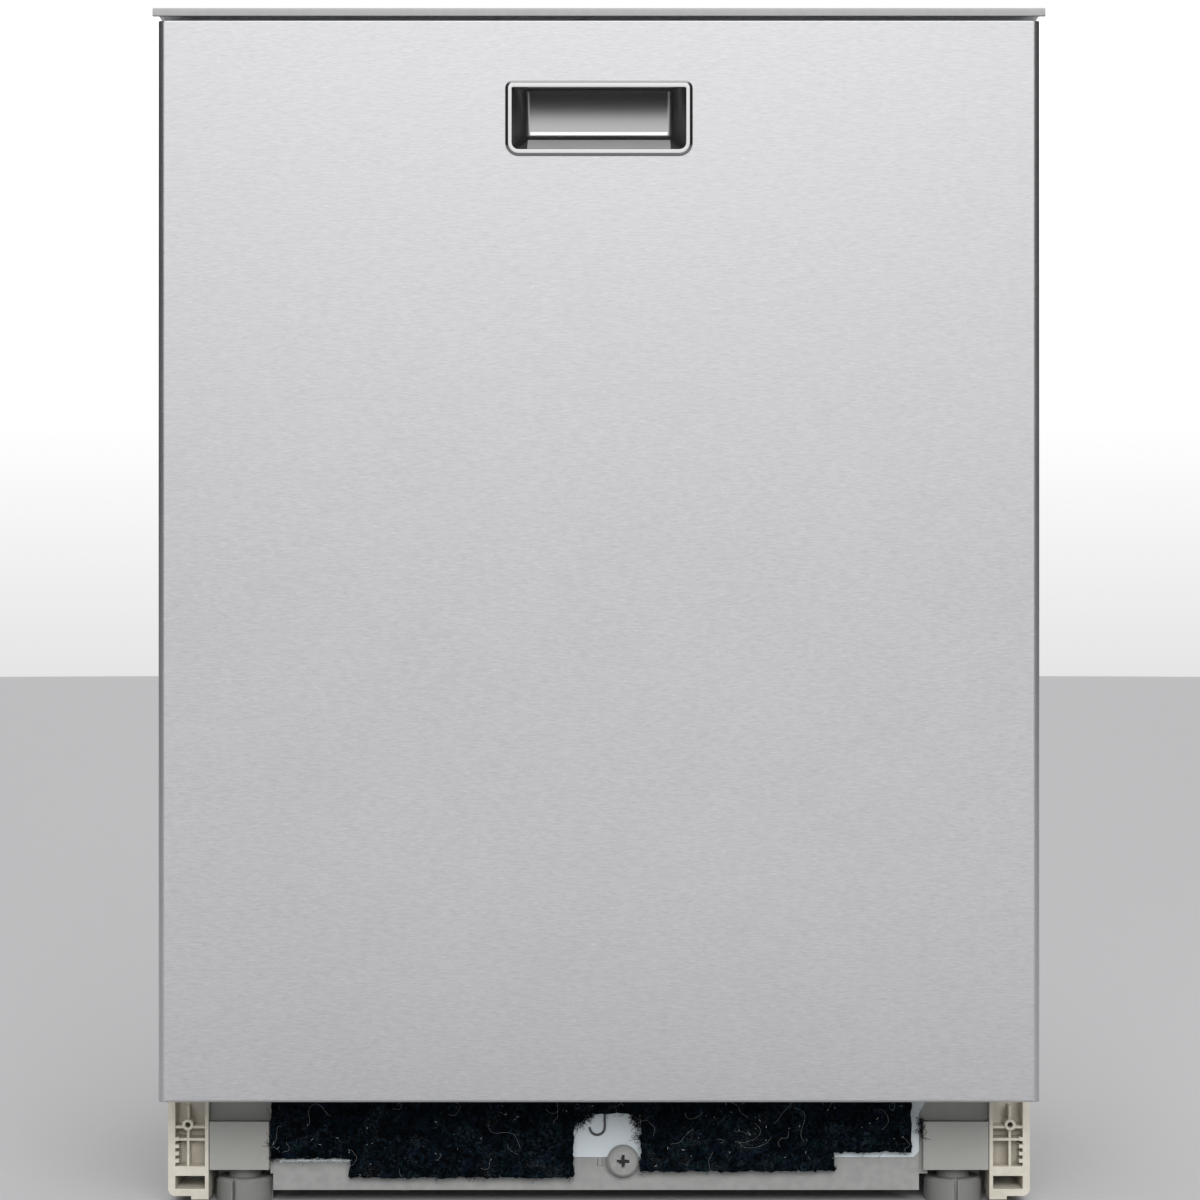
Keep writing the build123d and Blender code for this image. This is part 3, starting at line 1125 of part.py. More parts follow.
def cross_lines(front, back):
    """Places of the floor wires that run from side to side."""
    return spread(front + RACK_PITCH / 2, back - RACK_PITCH / 2, RACK_PITCH)


def floor_lines(half):
    """Places of the floor wires that run front to back, between the uprights."""
    return spread(-half + 1.5 * RACK_PITCH, half - 1.5 * RACK_PITCH, RACK_PITCH)


def rack_floor(half, floor, front, back):
    """Crossed floor wires, one layer on the other, inside the lower rim."""
    inner = 2 * RIM_WIRE_R
    layer = floor - WIRE_R
    wires = [wire_y(x, front + inner, back - inner, layer, WIRE_R) for x in floor_lines(half)]
    for y in cross_lines(front, back):
        wires.append(wire_x(-half + inner, half - inner, y, layer + 2 * WIRE_R, WIRE_R))
    return wires


def tines(half, floor, height, count, rows):
    """Plate tines standing on the cross wires."""
    low = floor + 2 * WIRE_R
    first = -half + TINE_INSET
    return [wire_z(first + i * TINE_PITCH, y, low, low + height, WIRE_R) for i in range(count) for y in rows]


def lower_rack_wires():
    half = LOWER_HALF
    wires = rack_frame(half, LOWER_FLOOR, LOWER_RACK_HEIGHT, RACK_FRONT, RACK_BACK)
    wires += rack_floor(half, LOWER_FLOOR, RACK_FRONT, RACK_BACK)
    rows = cross_lines(RACK_FRONT, RACK_BACK)[1::2]
    return wires + tines(half, LOWER_FLOOR, LOWER_TINE, LOWER_TINE_COUNT, rows)


def upper_rack_wires():
    half = UPPER_HALF
    wires = rack_frame(half, UPPER_FLOOR, UPPER_RACK_HEIGHT, RACK_FRONT, RACK_BACK)
    wires += rack_floor(half, UPPER_FLOOR, RACK_FRONT, RACK_BACK)
    rows = cross_lines(RACK_FRONT, RACK_BACK)[2::4]
    return wires + tines(half, UPPER_FLOOR, UPPER_TINE, UPPER_TINE_COUNT, rows)


def axle_lines():
    return RACK_FRONT + WHEEL_SETBACK, RACK_BACK - WHEEL_SETBACK


def wheel_brackets():
    """Plates on the lower rack's rim with the wheels' axle pins."""
    half = LOWER_HALF
    brackets = []
    for y in axle_lines():
        plate = block(-half - THIN_WALL, -half, y - WHEEL_R / 2, y + WHEEL_R / 2, WHEEL_Z - WHEEL_R / 2,
                      LOWER_FLOOR + RIM_WIRE_R)
        pin = along_x(-half - THIN_WALL - LIFT_GAP - WHEEL_THICK, -half - THIN_WALL, y, WHEEL_Z, WHEEL_BORE_R)
        brackets += pair(plate + pin)
    return brackets


def wheels(y):
    """A left and a right wheel that turn about one line."""
    outer = -LOWER_HALF - THIN_WALL - LIFT_GAP
    wheel = along_x(outer - WHEEL_THICK, outer, y, WHEEL_Z, WHEEL_R)
    wheel = chamfer(wheel.edges().filter_by(GeomType.CIRCLE), WHEEL_THICK / 6)
    return pair(wheel - along_x(outer - WHEEL_THICK, outer, y, WHEEL_Z, WHEEL_BORE_R + RUN_FIT))


def basket_corner():
    """Left, front and lower faces of the cutlery basket."""
    right = LOWER_HALF - 2 * RIM_WIRE_R - 2 * WIRE_R - BASKET_GAP
    middle = (RACK_FRONT + RACK_BACK) / 2
    return right - BASKET[0], middle - BASKET[1] / 2, LOWER_FLOOR + 2 * WIRE_R


def cutlery_basket():
    """Basket with slotted long walls, three cells and a grip."""
    x0, y0, z0 = basket_corner()
    length, depth, height = BASKET
    x1, y1, z1 = x0 + length, y0 + depth, z0 + height
    basket = block(x0, x1, y0, y1, z0, z1)
    cell = (depth - BASKET_WALL) / BASKET_CELLS
    for i in range(BASKET_CELLS):
        start = y0 + BASKET_WALL + i * cell
        end = start + cell - BASKET_WALL
        basket -= block(x0 + BASKET_WALL, x1 - BASKET_WALL, start, end, z0 + BASKET_WALL, z1)
        for y in spread(start + 2 * BASKET_SLOT[0], start + cell - 2 * BASKET_SLOT[0], cell / BASKET_SLOTS):
            low = z0 + (height - BASKET_SLOT[1]) / 2
            slot_half = BASKET_SLOT[0] / 2
            basket -= block(x0 - 1, x1 + 1, y - slot_half, y + slot_half, low, low + BASKET_SLOT[1])
    mid = (x0 + x1) / 2
    grip_x = (mid - 2 * BASKET_WALL, mid + 2 * BASKET_WALL)
    grip_top = z1 + BASKET_GRIP
    for i in (1, BASKET_CELLS - 1):
        y = y0 + i * cell
        basket += block(*grip_x, y, y + BASKET_WALL, z1, grip_top)
    grip_y = (y0 + cell, y0 + (BASKET_CELLS - 1) * cell + BASKET_WALL)
    return basket + block(*grip_x, *grip_y, grip_top - 3 * BASKET_WALL, grip_top)


def upper_rack_hangers():
    """Runners on the upper rack's sides that slide in the rails."""
    half = UPPER_HALF
    reach = RAIL_OUT - RAIL_GAUGE - GLIDE_GAP
    tall = RAIL_HEIGHT / 2 - RAIL_GAUGE - GLIDE_GAP
    top = UPPER_FLOOR + UPPER_RACK_HEIGHT + RIM_WIRE_R
    hangers = []
    for place in GLIDE_PLACES:
        y0, y1 = RAIL_FRONT + place - GLIDE_LENGTH / 2, RAIL_FRONT + place + GLIDE_LENGTH / 2
        plate = block(-half - WALL, -half, y0, y1, RAIL_Z - tall, top)
        hangers += pair(plate + block(-reach, -half, y0, y1, RAIL_Z - tall, RAIL_Z + tall))
    return hangers


def rack_rails():
    """Channel rails that carry the upper rack out of the tub."""
    y0, y1 = RAIL_FRONT, RAIL_FRONT + RAIL_LENGTH
    tall = RAIL_HEIGHT / 2
    rail = block(-RAIL_OUT, -RAIL_OUT + RAIL_DEPTH, y0, y1, RAIL_Z - tall, RAIL_Z + tall)
    rail -= block(-RAIL_OUT + RAIL_GAUGE, -RAIL_OUT + RAIL_DEPTH, y0, y1, RAIL_Z - tall + RAIL_GAUGE,
                  RAIL_Z + tall - RAIL_GAUGE)
    return pair(rail)


def rail_guides():
    """Plastic guides on the tub's sides that hold the rails."""
    guides = []
    tall = RAIL_HEIGHT / 2 + GLIDE_GAP
    inner = -RAIL_OUT + RAIL_DEPTH / 2
    for place in GUIDE_PLACES:
        y0, y1 = TUB_FRONT + place - GUIDE_LENGTH / 2, TUB_FRONT + place + GUIDE_LENGTH / 2
        guide = block(-TUB_IN, inner, y0, y1, RAIL_Z - tall - GUIDE_LIP, RAIL_Z + tall + GUIDE_LIP)
        guides += pair(guide - block(-RAIL_OUT - GLIDE_GAP, inner, y0, y1, RAIL_Z - tall, RAIL_Z + tall))
    return guides


NODES = {
    "door_panel": door_panel,
    "handle_pocket": handle_pocket,
    "door_liner": door_liner,
    "liner_screws": liner_screws,
    "lower_door_seal": lower_door_seal,
    "console": console,
    "display_window": display_window,
    "control_board": control_board,
    "latch_lever": latch_lever,
    "dispenser_body": dispenser_body,
    "dispenser_lid": dispenser_lid,
    "rinse_aid_cap": rinse_aid_cap,
    "hinge_arms": hinge_arms,
    "top_trim": top_trim,
    "tub": tub,
    "tub_floor": tub_floor,
    "door_gasket": door_gasket,
    "sound_blanket": sound_blanket,
    "latch_strike": latch_strike,
    "hinge_brackets": hinge_brackets,
    "door_springs": door_springs,
    "sump": sump,
    "filter_plate": filter_plate,
    "filter_cup": filter_cup,
    "overfill_float": overfill_float,
    "lower_spray_arm": lower_spray_arm,
    "upper_spray_arm": upper_spray_arm,
    "spray_manifold": spray_manifold,
    "feed_tube": feed_tube,
    "circulation_pump": circulation_pump,
    "drain_pump": drain_pump,
    "inlet_valve": inlet_valve,
    "drain_outlet": drain_outlet,
    "cable_gland": cable_gland,
    "base_tray": base_tray,
    "leg_bracket_left": leg_bracket,
    "leg_bracket_right": lambda: mirrored(leg_bracket()),
    "lower_cover_plate": lower_cover_plate,
    "white_cover_plate": white_cover_plate,
    "kick_felt": kick_felt,
    "felt_hook": felt_hook,
    "front_foot_left": lambda: foot(-FOOT_X, FOOT_Y, LEFT_FOOT_TURN),
    "front_foot_right": lambda: foot(FOOT_X, FOOT_Y),
    "rear_foot": lambda: foot(0, REAR_FOOT_Y),
    "rear_foot_gearbox": rear_foot_gearbox,
    "adjuster_spindle": adjuster_spindle,
    "lower_rack_wires": lower_rack_wires,
    "wheel_brackets": wheel_brackets,
    "front_wheels": lambda: wheels(axle_lines()[0]),
    "rear_wheels": lambda: wheels(axle_lines()[1]),
    "cutlery_basket": cutlery_basket,
    "upper_rack_wires": upper_rack_wires,
    "upper_rack_hangers": upper_rack_hangers,
    "rack_rails": rack_rails,
    "rail_guides": rail_guides,
}


def main():
    os.makedirs("parts", exist_ok=True)
    makers = dict(NODES)
    for name, x in BUTTON_PLACES.items():
        makers[name] = lambda x=x: button(x)
    for name, make in makers.items():
        shape = make()
        pieces = shape if isinstance(shape, list) else [shape]
        solids = [solid for piece in pieces for solid in piece.solids()]
        export_step(Compound(children=solids), f"parts/{name}.step")


if __name__ == "__main__":
    main()
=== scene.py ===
"""Dresses a built-in dishwasher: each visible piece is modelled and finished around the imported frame."""
import json
import math
import random

import bmesh
import bpy
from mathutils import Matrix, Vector

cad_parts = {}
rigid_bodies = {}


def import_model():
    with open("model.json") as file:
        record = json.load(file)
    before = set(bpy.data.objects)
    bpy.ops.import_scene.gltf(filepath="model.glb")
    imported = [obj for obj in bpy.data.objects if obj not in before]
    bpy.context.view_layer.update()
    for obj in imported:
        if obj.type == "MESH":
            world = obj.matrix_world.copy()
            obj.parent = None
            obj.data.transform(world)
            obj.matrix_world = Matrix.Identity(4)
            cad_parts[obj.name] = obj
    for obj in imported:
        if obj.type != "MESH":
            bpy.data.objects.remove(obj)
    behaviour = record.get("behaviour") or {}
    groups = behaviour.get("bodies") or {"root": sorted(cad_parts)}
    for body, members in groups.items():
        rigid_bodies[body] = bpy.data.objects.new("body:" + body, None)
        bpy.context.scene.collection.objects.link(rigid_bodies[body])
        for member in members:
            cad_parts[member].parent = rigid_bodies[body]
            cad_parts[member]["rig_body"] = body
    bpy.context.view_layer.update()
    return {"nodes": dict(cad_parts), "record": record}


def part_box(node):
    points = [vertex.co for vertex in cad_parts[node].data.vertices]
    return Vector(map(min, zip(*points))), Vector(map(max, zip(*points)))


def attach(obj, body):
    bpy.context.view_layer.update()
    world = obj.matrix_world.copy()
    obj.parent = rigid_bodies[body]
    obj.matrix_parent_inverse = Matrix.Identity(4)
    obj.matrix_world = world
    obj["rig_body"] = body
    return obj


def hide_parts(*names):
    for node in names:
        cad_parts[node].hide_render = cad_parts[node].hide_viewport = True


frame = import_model()

bl_info = {
    "name": "Built-in dishwasher looks",
    "version": (1, 0, 0),
    "blender": (4, 5, 0),
    "location": "View3D > Sidebar > Dishwasher",
    "description": "Models and finishes the visible pieces of a built-in dishwasher",
    "category": "Object",
}

SLOT_OF = {part["node"]: part["material_slot"] for part in frame["record"]["subparts"]}
BODY_OF = {node: piece["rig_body"] for node, piece in frame["nodes"].items()}
SELECT_MODES = {
    "verts": (True, False, False),
    "edges": (False, True, False),
    "faces": (False, False, True),
}
MM = 0.001
TOUCH = 0.01 * MM  # places closer than this count as one

# edge roundings of the smaller pieces
LEVER_EDGE = 0.05 * MM
ARM_EDGE = 0.1 * MM
SMALL_EDGE = 0.2 * MM
BUTTON_EDGE = 0.25 * MM
PLATE_EDGE = 0.3 * MM
BRACKET_EDGE = 0.35 * MM
WHEEL_EDGE = 0.4 * MM
FOOT_EDGE = 0.9 * MM


def length(label, text, value):
    """A size in metres that a user may change."""
    return bpy.props.FloatProperty(name=label, description=text, default=value, unit="LENGTH", precision=5)


def colour(label, text, value):
    """A colour that a user may change."""
    return bpy.props.FloatVectorProperty(
        name=label, description=text, default=value, subtype="COLOR", size=3, min=0.0, max=1.0
    )


class DishwasherSizes(bpy.types.PropertyGroup):
    """Sizes of the pieces that are modelled here."""

    rim_height: length("Rim height", "Height of the handle's rim", 50.5 * MM)
    rim_drop: length("Rim drop", "From the door's top edge to the rim", 40.2 * MM)
    rim_corner: length("Rim upper corner", "Radius of the rim's upper corners", 5.0 * MM)
    rim_lower_corner: length("Rim lower corner", "Radius of the rim's lower corners", 9.0 * MM)
    pocket_depth: length("Pocket depth", "Depth of the handle's pocket at its middle", 27.0 * MM)
    pocket_draft: length("Pocket draft", "How far each side wall leans in", 8.4 * MM)
    pocket_rise: length("Pocket floor rise", "How far the pocket's floor climbs to its back wall", 10.3 * MM)
    pocket_fold: length("Pocket fold", "Radius of the fold round the back wall", 3.2 * MM)
    door_bend: length("Door side bend", "Radius of the door panel's side bends", 4.8 * MM)
    door_top_bend: length("Door top bend", "Radius of the door panel's upper fold", 0.9 * MM)
    door_bottom_bend: length("Door bottom bend", "Radius of the door panel's lower fold", 2.0 * MM)
    steel_edge: length("Steel edge", "Rounding of sheet steel edges", 0.35 * MM)
    moulding_edge: length("Moulding edge", "Rounding of moulded plastic edges", 0.5 * MM)
    felt_cell: length("Felt cell", "Mesh size of the kick felt", 2.2 * MM)
    hair: length("Hair", "Thickness of a felt hair", 0.24 * MM)
    hairs: bpy.props.IntProperty(name="Hairs", description="Loose dark hairs on the felt", default=420, min=0)
    threads: bpy.props.IntProperty(name="Threads", description="Pale threads on the felt", default=60, min=0)


class DishwasherColours(bpy.types.PropertyGroup):
    """Colours of the main finishes."""

    door_steel: colour("Door steel", "Brushed door panel", (0.62, 0.62, 0.63))
    trim_steel: colour("Trim steel", "Trim strip over the door", (0.345, 0.345, 0.345))
    handle_silver: colour("Handle silver", "Plated pocket and rim", (0.60, 0.60, 0.60))
    # the well and floor colours are darker copies of the silver: partly a rougher satin finish, partly
    # painted shade
    handle_well: colour("Handle well", "Walls inside the pocket", (0.345, 0.345, 0.345))
    # painted shade: a darker copy of the silver for the rim's sloped outer edge
    handle_edge: colour("Handle edge", "Sloped outer edge of the rim", (0.27, 0.27, 0.27))
    handle_floor: colour("Handle floor", "Satin floor of the pocket", (0.36, 0.36, 0.36))
    ivory_plastic: colour("Ivory plastic", "Leg brackets", (0.56, 0.52, 0.43))
    base_grey: colour("Base grey", "Base moulding", (0.33, 0.33, 0.31))
    foot_grey: colour("Foot grey", "Front feet", (0.215, 0.215, 0.207))
    white_paint: colour("White paint", "Plate behind the felt", (0.63, 0.69, 0.72))
    grey_paint: colour("Grey paint", "Lower plate", (0.285, 0.29, 0.28))
    fleece: colour("Fleece", "Sound blanket round the tub", (0.020, 0.020, 0.021))
    felt: colour("Felt", "Kick felt", (0.0008, 0.0014, 0.0019))


class DishwasherStage(bpy.types.PropertyGroup):
    """Camera and light."""

    lens: bpy.props.FloatProperty(
        name="Lens", description="Focal length on a 36 mm sensor", default=93.82, unit="CAMERA"
    )
    distance: length("Distance", "How far the camera stands in front of the middle", 2.374)
    height: length("Camera height", "Height of the level camera", 0.418)
    aside: length("Camera aside", "Sideways place of the camera", 0.0007)
    sky: bpy.props.FloatProperty(
        name="Sky", description="Strength of the soft room light", default=1.0, min=0.0
    )
    key: bpy.props.FloatProperty(
        name="Key", description="Power of the front lamp", default=66.0, unit="POWER"
    )
    floor: colour("Floor", "Pale floor", (0.46, 0.46, 0.465))


def sizes():
    return bpy.context.scene.dishwasher_sizes


def leave_edit():
    if bpy.context.object and bpy.context.object.mode != "OBJECT":
        bpy.ops.object.mode_set(mode="OBJECT")


def clear_choice():
    """Leaves nothing selected, in object mode."""
    leave_edit()
    bpy.ops.object.select_all(action="DESELECT")


def choose(piece):
    """Leaves one piece selected and active, in object mode."""
    clear_choice()
    piece.select_set(True)
    bpy.context.view_layer.objects.active = piece


def edit(piece):
    choose(piece)
    bpy.ops.object.mode_set(mode="EDIT")


def mark(kind, test):
    """Selects the faces, edges or verts of the mesh being edited that pass a test."""
    bpy.context.tool_settings.mesh_select_mode = SELECT_MODES[kind]
    data = bpy.context.object.data
    mesh = bmesh.from_edit_mesh(data)
    for group in (mesh.faces, mesh.edges, mesh.verts):
        for item in group:
            item.select = False
    for item in getattr(mesh, kind):
        if test(item):
            item.select_set(True)
    mesh.select_flush_mode()
    bmesh.update_edit_mesh(data)


def primitive(kind, name, **settings):
    """Adds a mesh primitive by the name of its operator."""
    clear_choice()
    getattr(bpy.ops.mesh, "primitive_" + kind + "_add")(**settings)
    piece = bpy.context.object
    piece.name = name
    return piece


def fix_place():
    """Puts the chosen piece's place, turn and scale into its mesh."""
    bpy.ops.object.transform_apply(location=True, rotation=True, scale=True)


def box(place, size, turn=0.0):
    """A box to cut with, turned about Y."""
    piece = primitive("cube", "box", size=1.0, location=place)
    piece.scale = size
    piece.rotation_euler = (0, turn, 0)
    fix_place()
    return piece


def apply(piece, kind, label, **settings):
    """Adds one modifier and applies it."""
    choose(piece)
    modifier = piece.modifiers.new(label, kind)
    for name, value in settings.items():
        setattr(modifier, name, value)
    bpy.ops.object.modifier_apply(modifier=modifier.name)


def cut(piece, tool, label):
    """Takes one shape away from a piece."""
    apply(piece, "BOOLEAN", label, object=tool, operation="DIFFERENCE", solver="EXACT")
    bpy.data.objects.remove(tool)


def soften(piece, edge, segments=2, angle=30.0):
    """Rounds the sharp edges of a piece."""
    apply(
        piece, "BEVEL", "Soft edges", width=edge, segments=segments, limit_method="ANGLE",
        angle_limit=math.radians(angle), use_clamp_overlap=True, loop_slide=False,
    )


def settle(piece, body, slot, nodes=(), smooth=35.0):
    """Smooths a finished piece, gives it its finish and body, and hides the solids that it stands for."""
    choose(piece)
    fix_place()
    bpy.ops.object.shade_smooth_by_angle(angle=math.radians(smooth))
    apply(piece, "WEIGHTED_NORMAL", "Even shading", keep_sharp=True)
    piece.data.materials.clear()
    piece.data.materials.append(finish_for(slot))
    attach(piece, body)
    if nodes:
        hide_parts(*nodes)
    return piece


def traced(node, name):
    """A merged copy of a solid, ready to be worked on."""
    piece = bpy.data.objects.new(name, frame["nodes"][node].data.copy())
    bpy.context.scene.collection.objects.link(piece)
    choose(piece)
    bpy.ops.mesh.customdata_custom_splitnormals_clear()
    bpy.ops.object.mode_set(mode="EDIT")
    bpy.ops.mesh.select_all(action="SELECT")
    bpy.ops.mesh.remove_doubles(threshold=TOUCH)
    bpy.ops.mesh.dissolve_limited(angle_limit=math.radians(0.4))
    leave_edit()
    return piece


def settle_for(piece, node, smooth=35.0):
    """Settles a piece on the body, and with the finish, of the solid that it stands for."""
    return settle(piece, BODY_OF[node], SLOT_OF[node], [node], smooth)


def rounded_copy(node, edge, segments=2, smooth=35.0):
    """A solid's copy with softened edges, which takes its place."""
    piece = traced(node, node + "_shell")
    if edge > 0:
        soften(piece, edge, segments)
    return settle_for(piece, node, smooth)


def rounded_copies(edge, *nodes):
    for node in nodes:
        rounded_copy(node, edge)


class Value:
    """A shader socket to reckon with: numbers and other values join it through new nodes of its tree."""

    def __init__(self, socket):
        self.socket = socket
        self.tree = socket.id_data

    def reckon(self, operation, other=0.0):
        return lay(self.tree, "Math", {0: self, 1: other}, operation=operation)

    def __add__(self, other):
        return self.reckon("ADD", other)

    def __sub__(self, other):
        return self.reckon("SUBTRACT", other)

    def __mul__(self, other):
        return self.reckon("MULTIPLY", other)

    def __abs__(self):
        return self.reckon("ABSOLUTE")

    def larger(self, other):
        return self.reckon("MAXIMUM", other)

    def ramp(self, low, high, to_low=0.0, to_high=1.0):
        """The value stretched from one range to another, and held there."""
        inputs = {0: self, 1: low, 2: high, 3: to_low, 4: to_high}
        return lay(self.tree, "MapRange", inputs, interpolation_type="SMOOTHSTEP")

    def between(self, first, second):
        """Two colours mixed, with the value as the second one's share."""
        return lay(self.tree, "Mix", {0: self, 6: first, 7: second}, 2, data_type="RGBA")

    def stretched(self, scale):
        return lay(self.tree, "Mapping", {"Vector": self, "Scale": scale})

    def noise(self, scale, detail=2.0, rough=0.5, warp=0.0):
        """A noise around a half, at the place that the value gives."""
        inputs = {"Vector": self, "Scale": scale, "Detail": detail, "Roughness": rough, "Distortion": warp}
        return lay(self.tree, "TexNoise", inputs)


def feed(node, inputs):
    """Links or sets a node's inputs."""
    for key, value in inputs.items():
        if isinstance(value, Value):
            node.id_data.links.new(value.socket, node.inputs[key])
        else:
            node.inputs[key].default_value = value


def add_node(tree, kind, inputs=None, **settings):
    """Adds a shader node, sets its fields, and links or sets its inputs."""
    node = tree.nodes.new("ShaderNode" + kind)
    for name, value in settings.items():
        setattr(node, name, value)
    feed(node, inputs or {})
    return node


def lay(tree, kind, inputs=None, output=0, **settings):
    """Adds a shader node and gives the value of one of its outputs."""
    return Value(add_node(tree, kind, inputs, **settings).outputs[output])


def values_of(node):
    """All of a node's outputs by name."""
    return {socket.name: Value(socket) for socket in node.outputs if socket.name}


def new_group(name, outputs, **numbers):
    """An empty shader node group that takes a place and numbers; gives its inputs and its end node."""
    tree = bpy.data.node_groups.new(name, "ShaderNodeTree")
    tree.interface.new_socket("Vector", in_out="INPUT", socket_type="NodeSocketVector")
    for label, value in numbers.items():
        socket = tree.interface.new_socket(label, in_out="INPUT", socket_type="NodeSocketFloat")
        socket.default_value = value
    for label in outputs:
        tree.interface.new_socket(label, in_out="OUTPUT", socket_type="NodeSocketFloat")
    return tree, values_of(tree.nodes.new("NodeGroupInput")), tree.nodes.new("NodeGroupOutput")


def brushed_grain(name):
    """Streaks along X with a soft mottling and painted glints, for rolled and brushed steel."""
    tree, start, end = new_group(name, ("Shade", "Height", "Scatter"), Contrast=0.08, Mottle=0.04)
    place = start["Vector"]
    streak = place.stretched((150, 1500, 1500)).noise(1.0, 3.0, 0.6)
    fine = place.stretched((420, 3800, 3800)).noise(1.0, 2.0)
    # painted glints: rare bright dashes that lighten the shade, and also raise the bump and roughness
    painted_glint = place.stretched((210, 1300, 1300)).noise(1.0, 1.0)
    lines = fine * 0.5 + (streak - 0.75) + painted_glint.ramp(0.70, 0.80, 0.0, 0.35)
    patch = (place.noise(16.0, 3.0) - 0.5) * start["Mottle"]
    shade = lines * start["Contrast"] + (patch + 1.0)
    feed(end, {"Shade": shade, "Height": lines + 0.5, "Scatter": patch + lines * 0.12})
    return tree


def moulding_grain(name):
    """Cloudy shade and a fine skin, for moulded plastic and paint."""
    tree, start, end = new_group(name, ("Shade", "Height", "Scatter"), Grain=1600.0, Contrast=0.12)
    drift = start["Vector"].noise(45.0, 4.0, 0.6) - 0.5
    skin = start["Vector"].noise(start["Grain"], 2.0)
    shade = ((skin - 0.5) * 0.35 + drift) * start["Contrast"] + 1.0
    feed(end, {"Shade": shade, "Height": skin, "Scatter": drift * 0.08})
    return tree


def edge_wear(name):
    """A broken mask along outer edges for wear, and a mask of painted shade in hollows."""
    tree, start, end = new_group(name, ("Edge", "Hollow"), Break=160.0)
    bend = lay(tree, "NewGeometry", output="Pointiness")
    chips = start["Vector"].noise(start["Break"], 3.0).ramp(0.35, 0.65)
    rim = bend.ramp(0.515, 0.57) * (chips * 0.7 + 0.3)
    feed(end, {"Edge": rim, "Hollow": bend.ramp(0.49, 0.42)})
    return tree


def settled_dust(name):
    """A mask of dust on what faces upwards, thicker in patches."""
    tree, start, end = new_group(name, ("Dust",))
    upward = lay(tree, "SeparateXYZ", {0: lay(tree, "NewGeometry", output="Normal")}, 2)
    patch = start["Vector"].noise(70.0, 5.0, 0.65).ramp(0.35, 0.7)
    speck = start["Vector"].noise(900.0, 2.0).ramp(0.6, 0.75)
    feed(end, {"Dust": (speck * 0.5 + patch) * upward.ramp(0.2, 0.9)})
    return tree


def felt_fibre(name):
    """Matted fibres: dark and light tangles, colour patches and pale lint."""
    tree, start, end = new_group(name, ("Tangle", "Patch", "Lint", "Height"))
    place = start["Vector"]
    tangle = place.noise(190.0, 6.0, 0.66, 2.4)
    patch = place.noise(140.0, 4.0, 0.6, 1.6).ramp(0.46, 0.62)
    hair = abs(place.noise(150.0, 3.0, 0.55, 3.0) - 0.5).ramp(0.012, 0.0)
    rare = place.noise(60.0, 2.0).ramp(0.56, 0.68)
    speck = place.noise(1100.0, 1.0).ramp(0.70, 0.76)
    lint = (hair * rare).larger(speck * rare)
    feed(end, {"Tangle": tangle, "Patch": patch, "Lint": lint, "Height": hair * 0.4 + tangle})
    return tree


def effect(maker, place, **numbers):
    """Places a shared effect in a material, building it on first use."""
    name = maker.__name__.replace("_", " ").capitalize()
    group = bpy.data.node_groups.get(name) or maker(name)
    return values_of(add_node(place.tree, "Group", {"Vector": place, **numbers}, node_tree=group))


def start_material(slot):
    """A new material with its Principled shader and its object coordinates."""
    material = bpy.data.materials.new("finish_" + slot)
    material.use_nodes = True
    shader = material.node_tree.nodes["Principled BSDF"]
    return material, shader, lay(material.node_tree, "TexCoord", output="Object")


def opaque(rgb):
    return (rgb[0], rgb[1], rgb[2], 1.0)


def shaded(rgb, shade):
    """A colour made lighter and darker by a value."""
    grey = lay(shade.tree, "CombineColor", {0: shade, 1: shade, 2: shade})
    inputs = {0: 1.0, 6: opaque(rgb), 7: grey}
    return lay(shade.tree, "Mix", inputs, 2, data_type="RGBA", blend_type="MULTIPLY")


def bump(height, strength, depth):
    return lay(height.tree, "Bump", {"Height": height, "Strength": strength, "Distance": depth})


def steel(slot, rgb, rough, contrast, mottle, relief, wear=0.25, scatter=1.0):
    """Brushed, rolled or plated metal; scatter says how far the grain changes the roughness."""
    material, shader, place = start_material(slot)
    grain = effect(brushed_grain, place, Contrast=contrast, Mottle=mottle)
    edge = effect(edge_wear, place)["Edge"] * wear
    light = tuple(min(1.0, channel * 1.25) for channel in rgb)
    feed(shader, {
        "Base Color": edge.between(shaded(rgb, grain["Shade"]), opaque(light)),
        "Roughness": grain["Scatter"] * scatter + rough,
        "Metallic": 1.0,
        "Normal": bump(grain["Height"], relief, 0.02 * MM),
    })
    return material


DUST_COLOUR = (0.36, 0.35, 0.33, 1.0)


def plastic(slot, rgb, rough, grain_size=1600.0, contrast=0.12, relief=0.15, wear=0.3, dust=0.2, coat=0.0):
    """Moulded plastic, rubber or paint, with worn edges, dust and painted shade in hollows."""
    material, shader, place = start_material(slot)
    grain = effect(moulding_grain, place, Grain=grain_size, Contrast=contrast)
    wear_and_hollow_shade = effect(edge_wear, place)
    film = effect(settled_dust, place)["Dust"]
    light = tuple(channel + (1.0 - channel) * 0.3 for channel in rgb)
    # painted shade: the colour darkened in hollows
    dark = tuple(channel * 0.55 for channel in rgb)
    tone = (wear_and_hollow_shade["Edge"] * wear).between(shaded(rgb, grain["Shade"]), opaque(light))
    tone = (wear_and_hollow_shade["Hollow"] * 0.5).between(tone, opaque(dark))
    feed(shader, {
        "Base Color": (film * dust).between(tone, DUST_COLOUR),
        "Roughness": film * 0.2 + rough + grain["Scatter"],
        "Coat Weight": coat,
        "Normal": bump(grain["Height"], relief, 0.05 * MM),
    })
    return material


LINT_COLOUR = (0.22, 0.22, 0.21, 1.0)


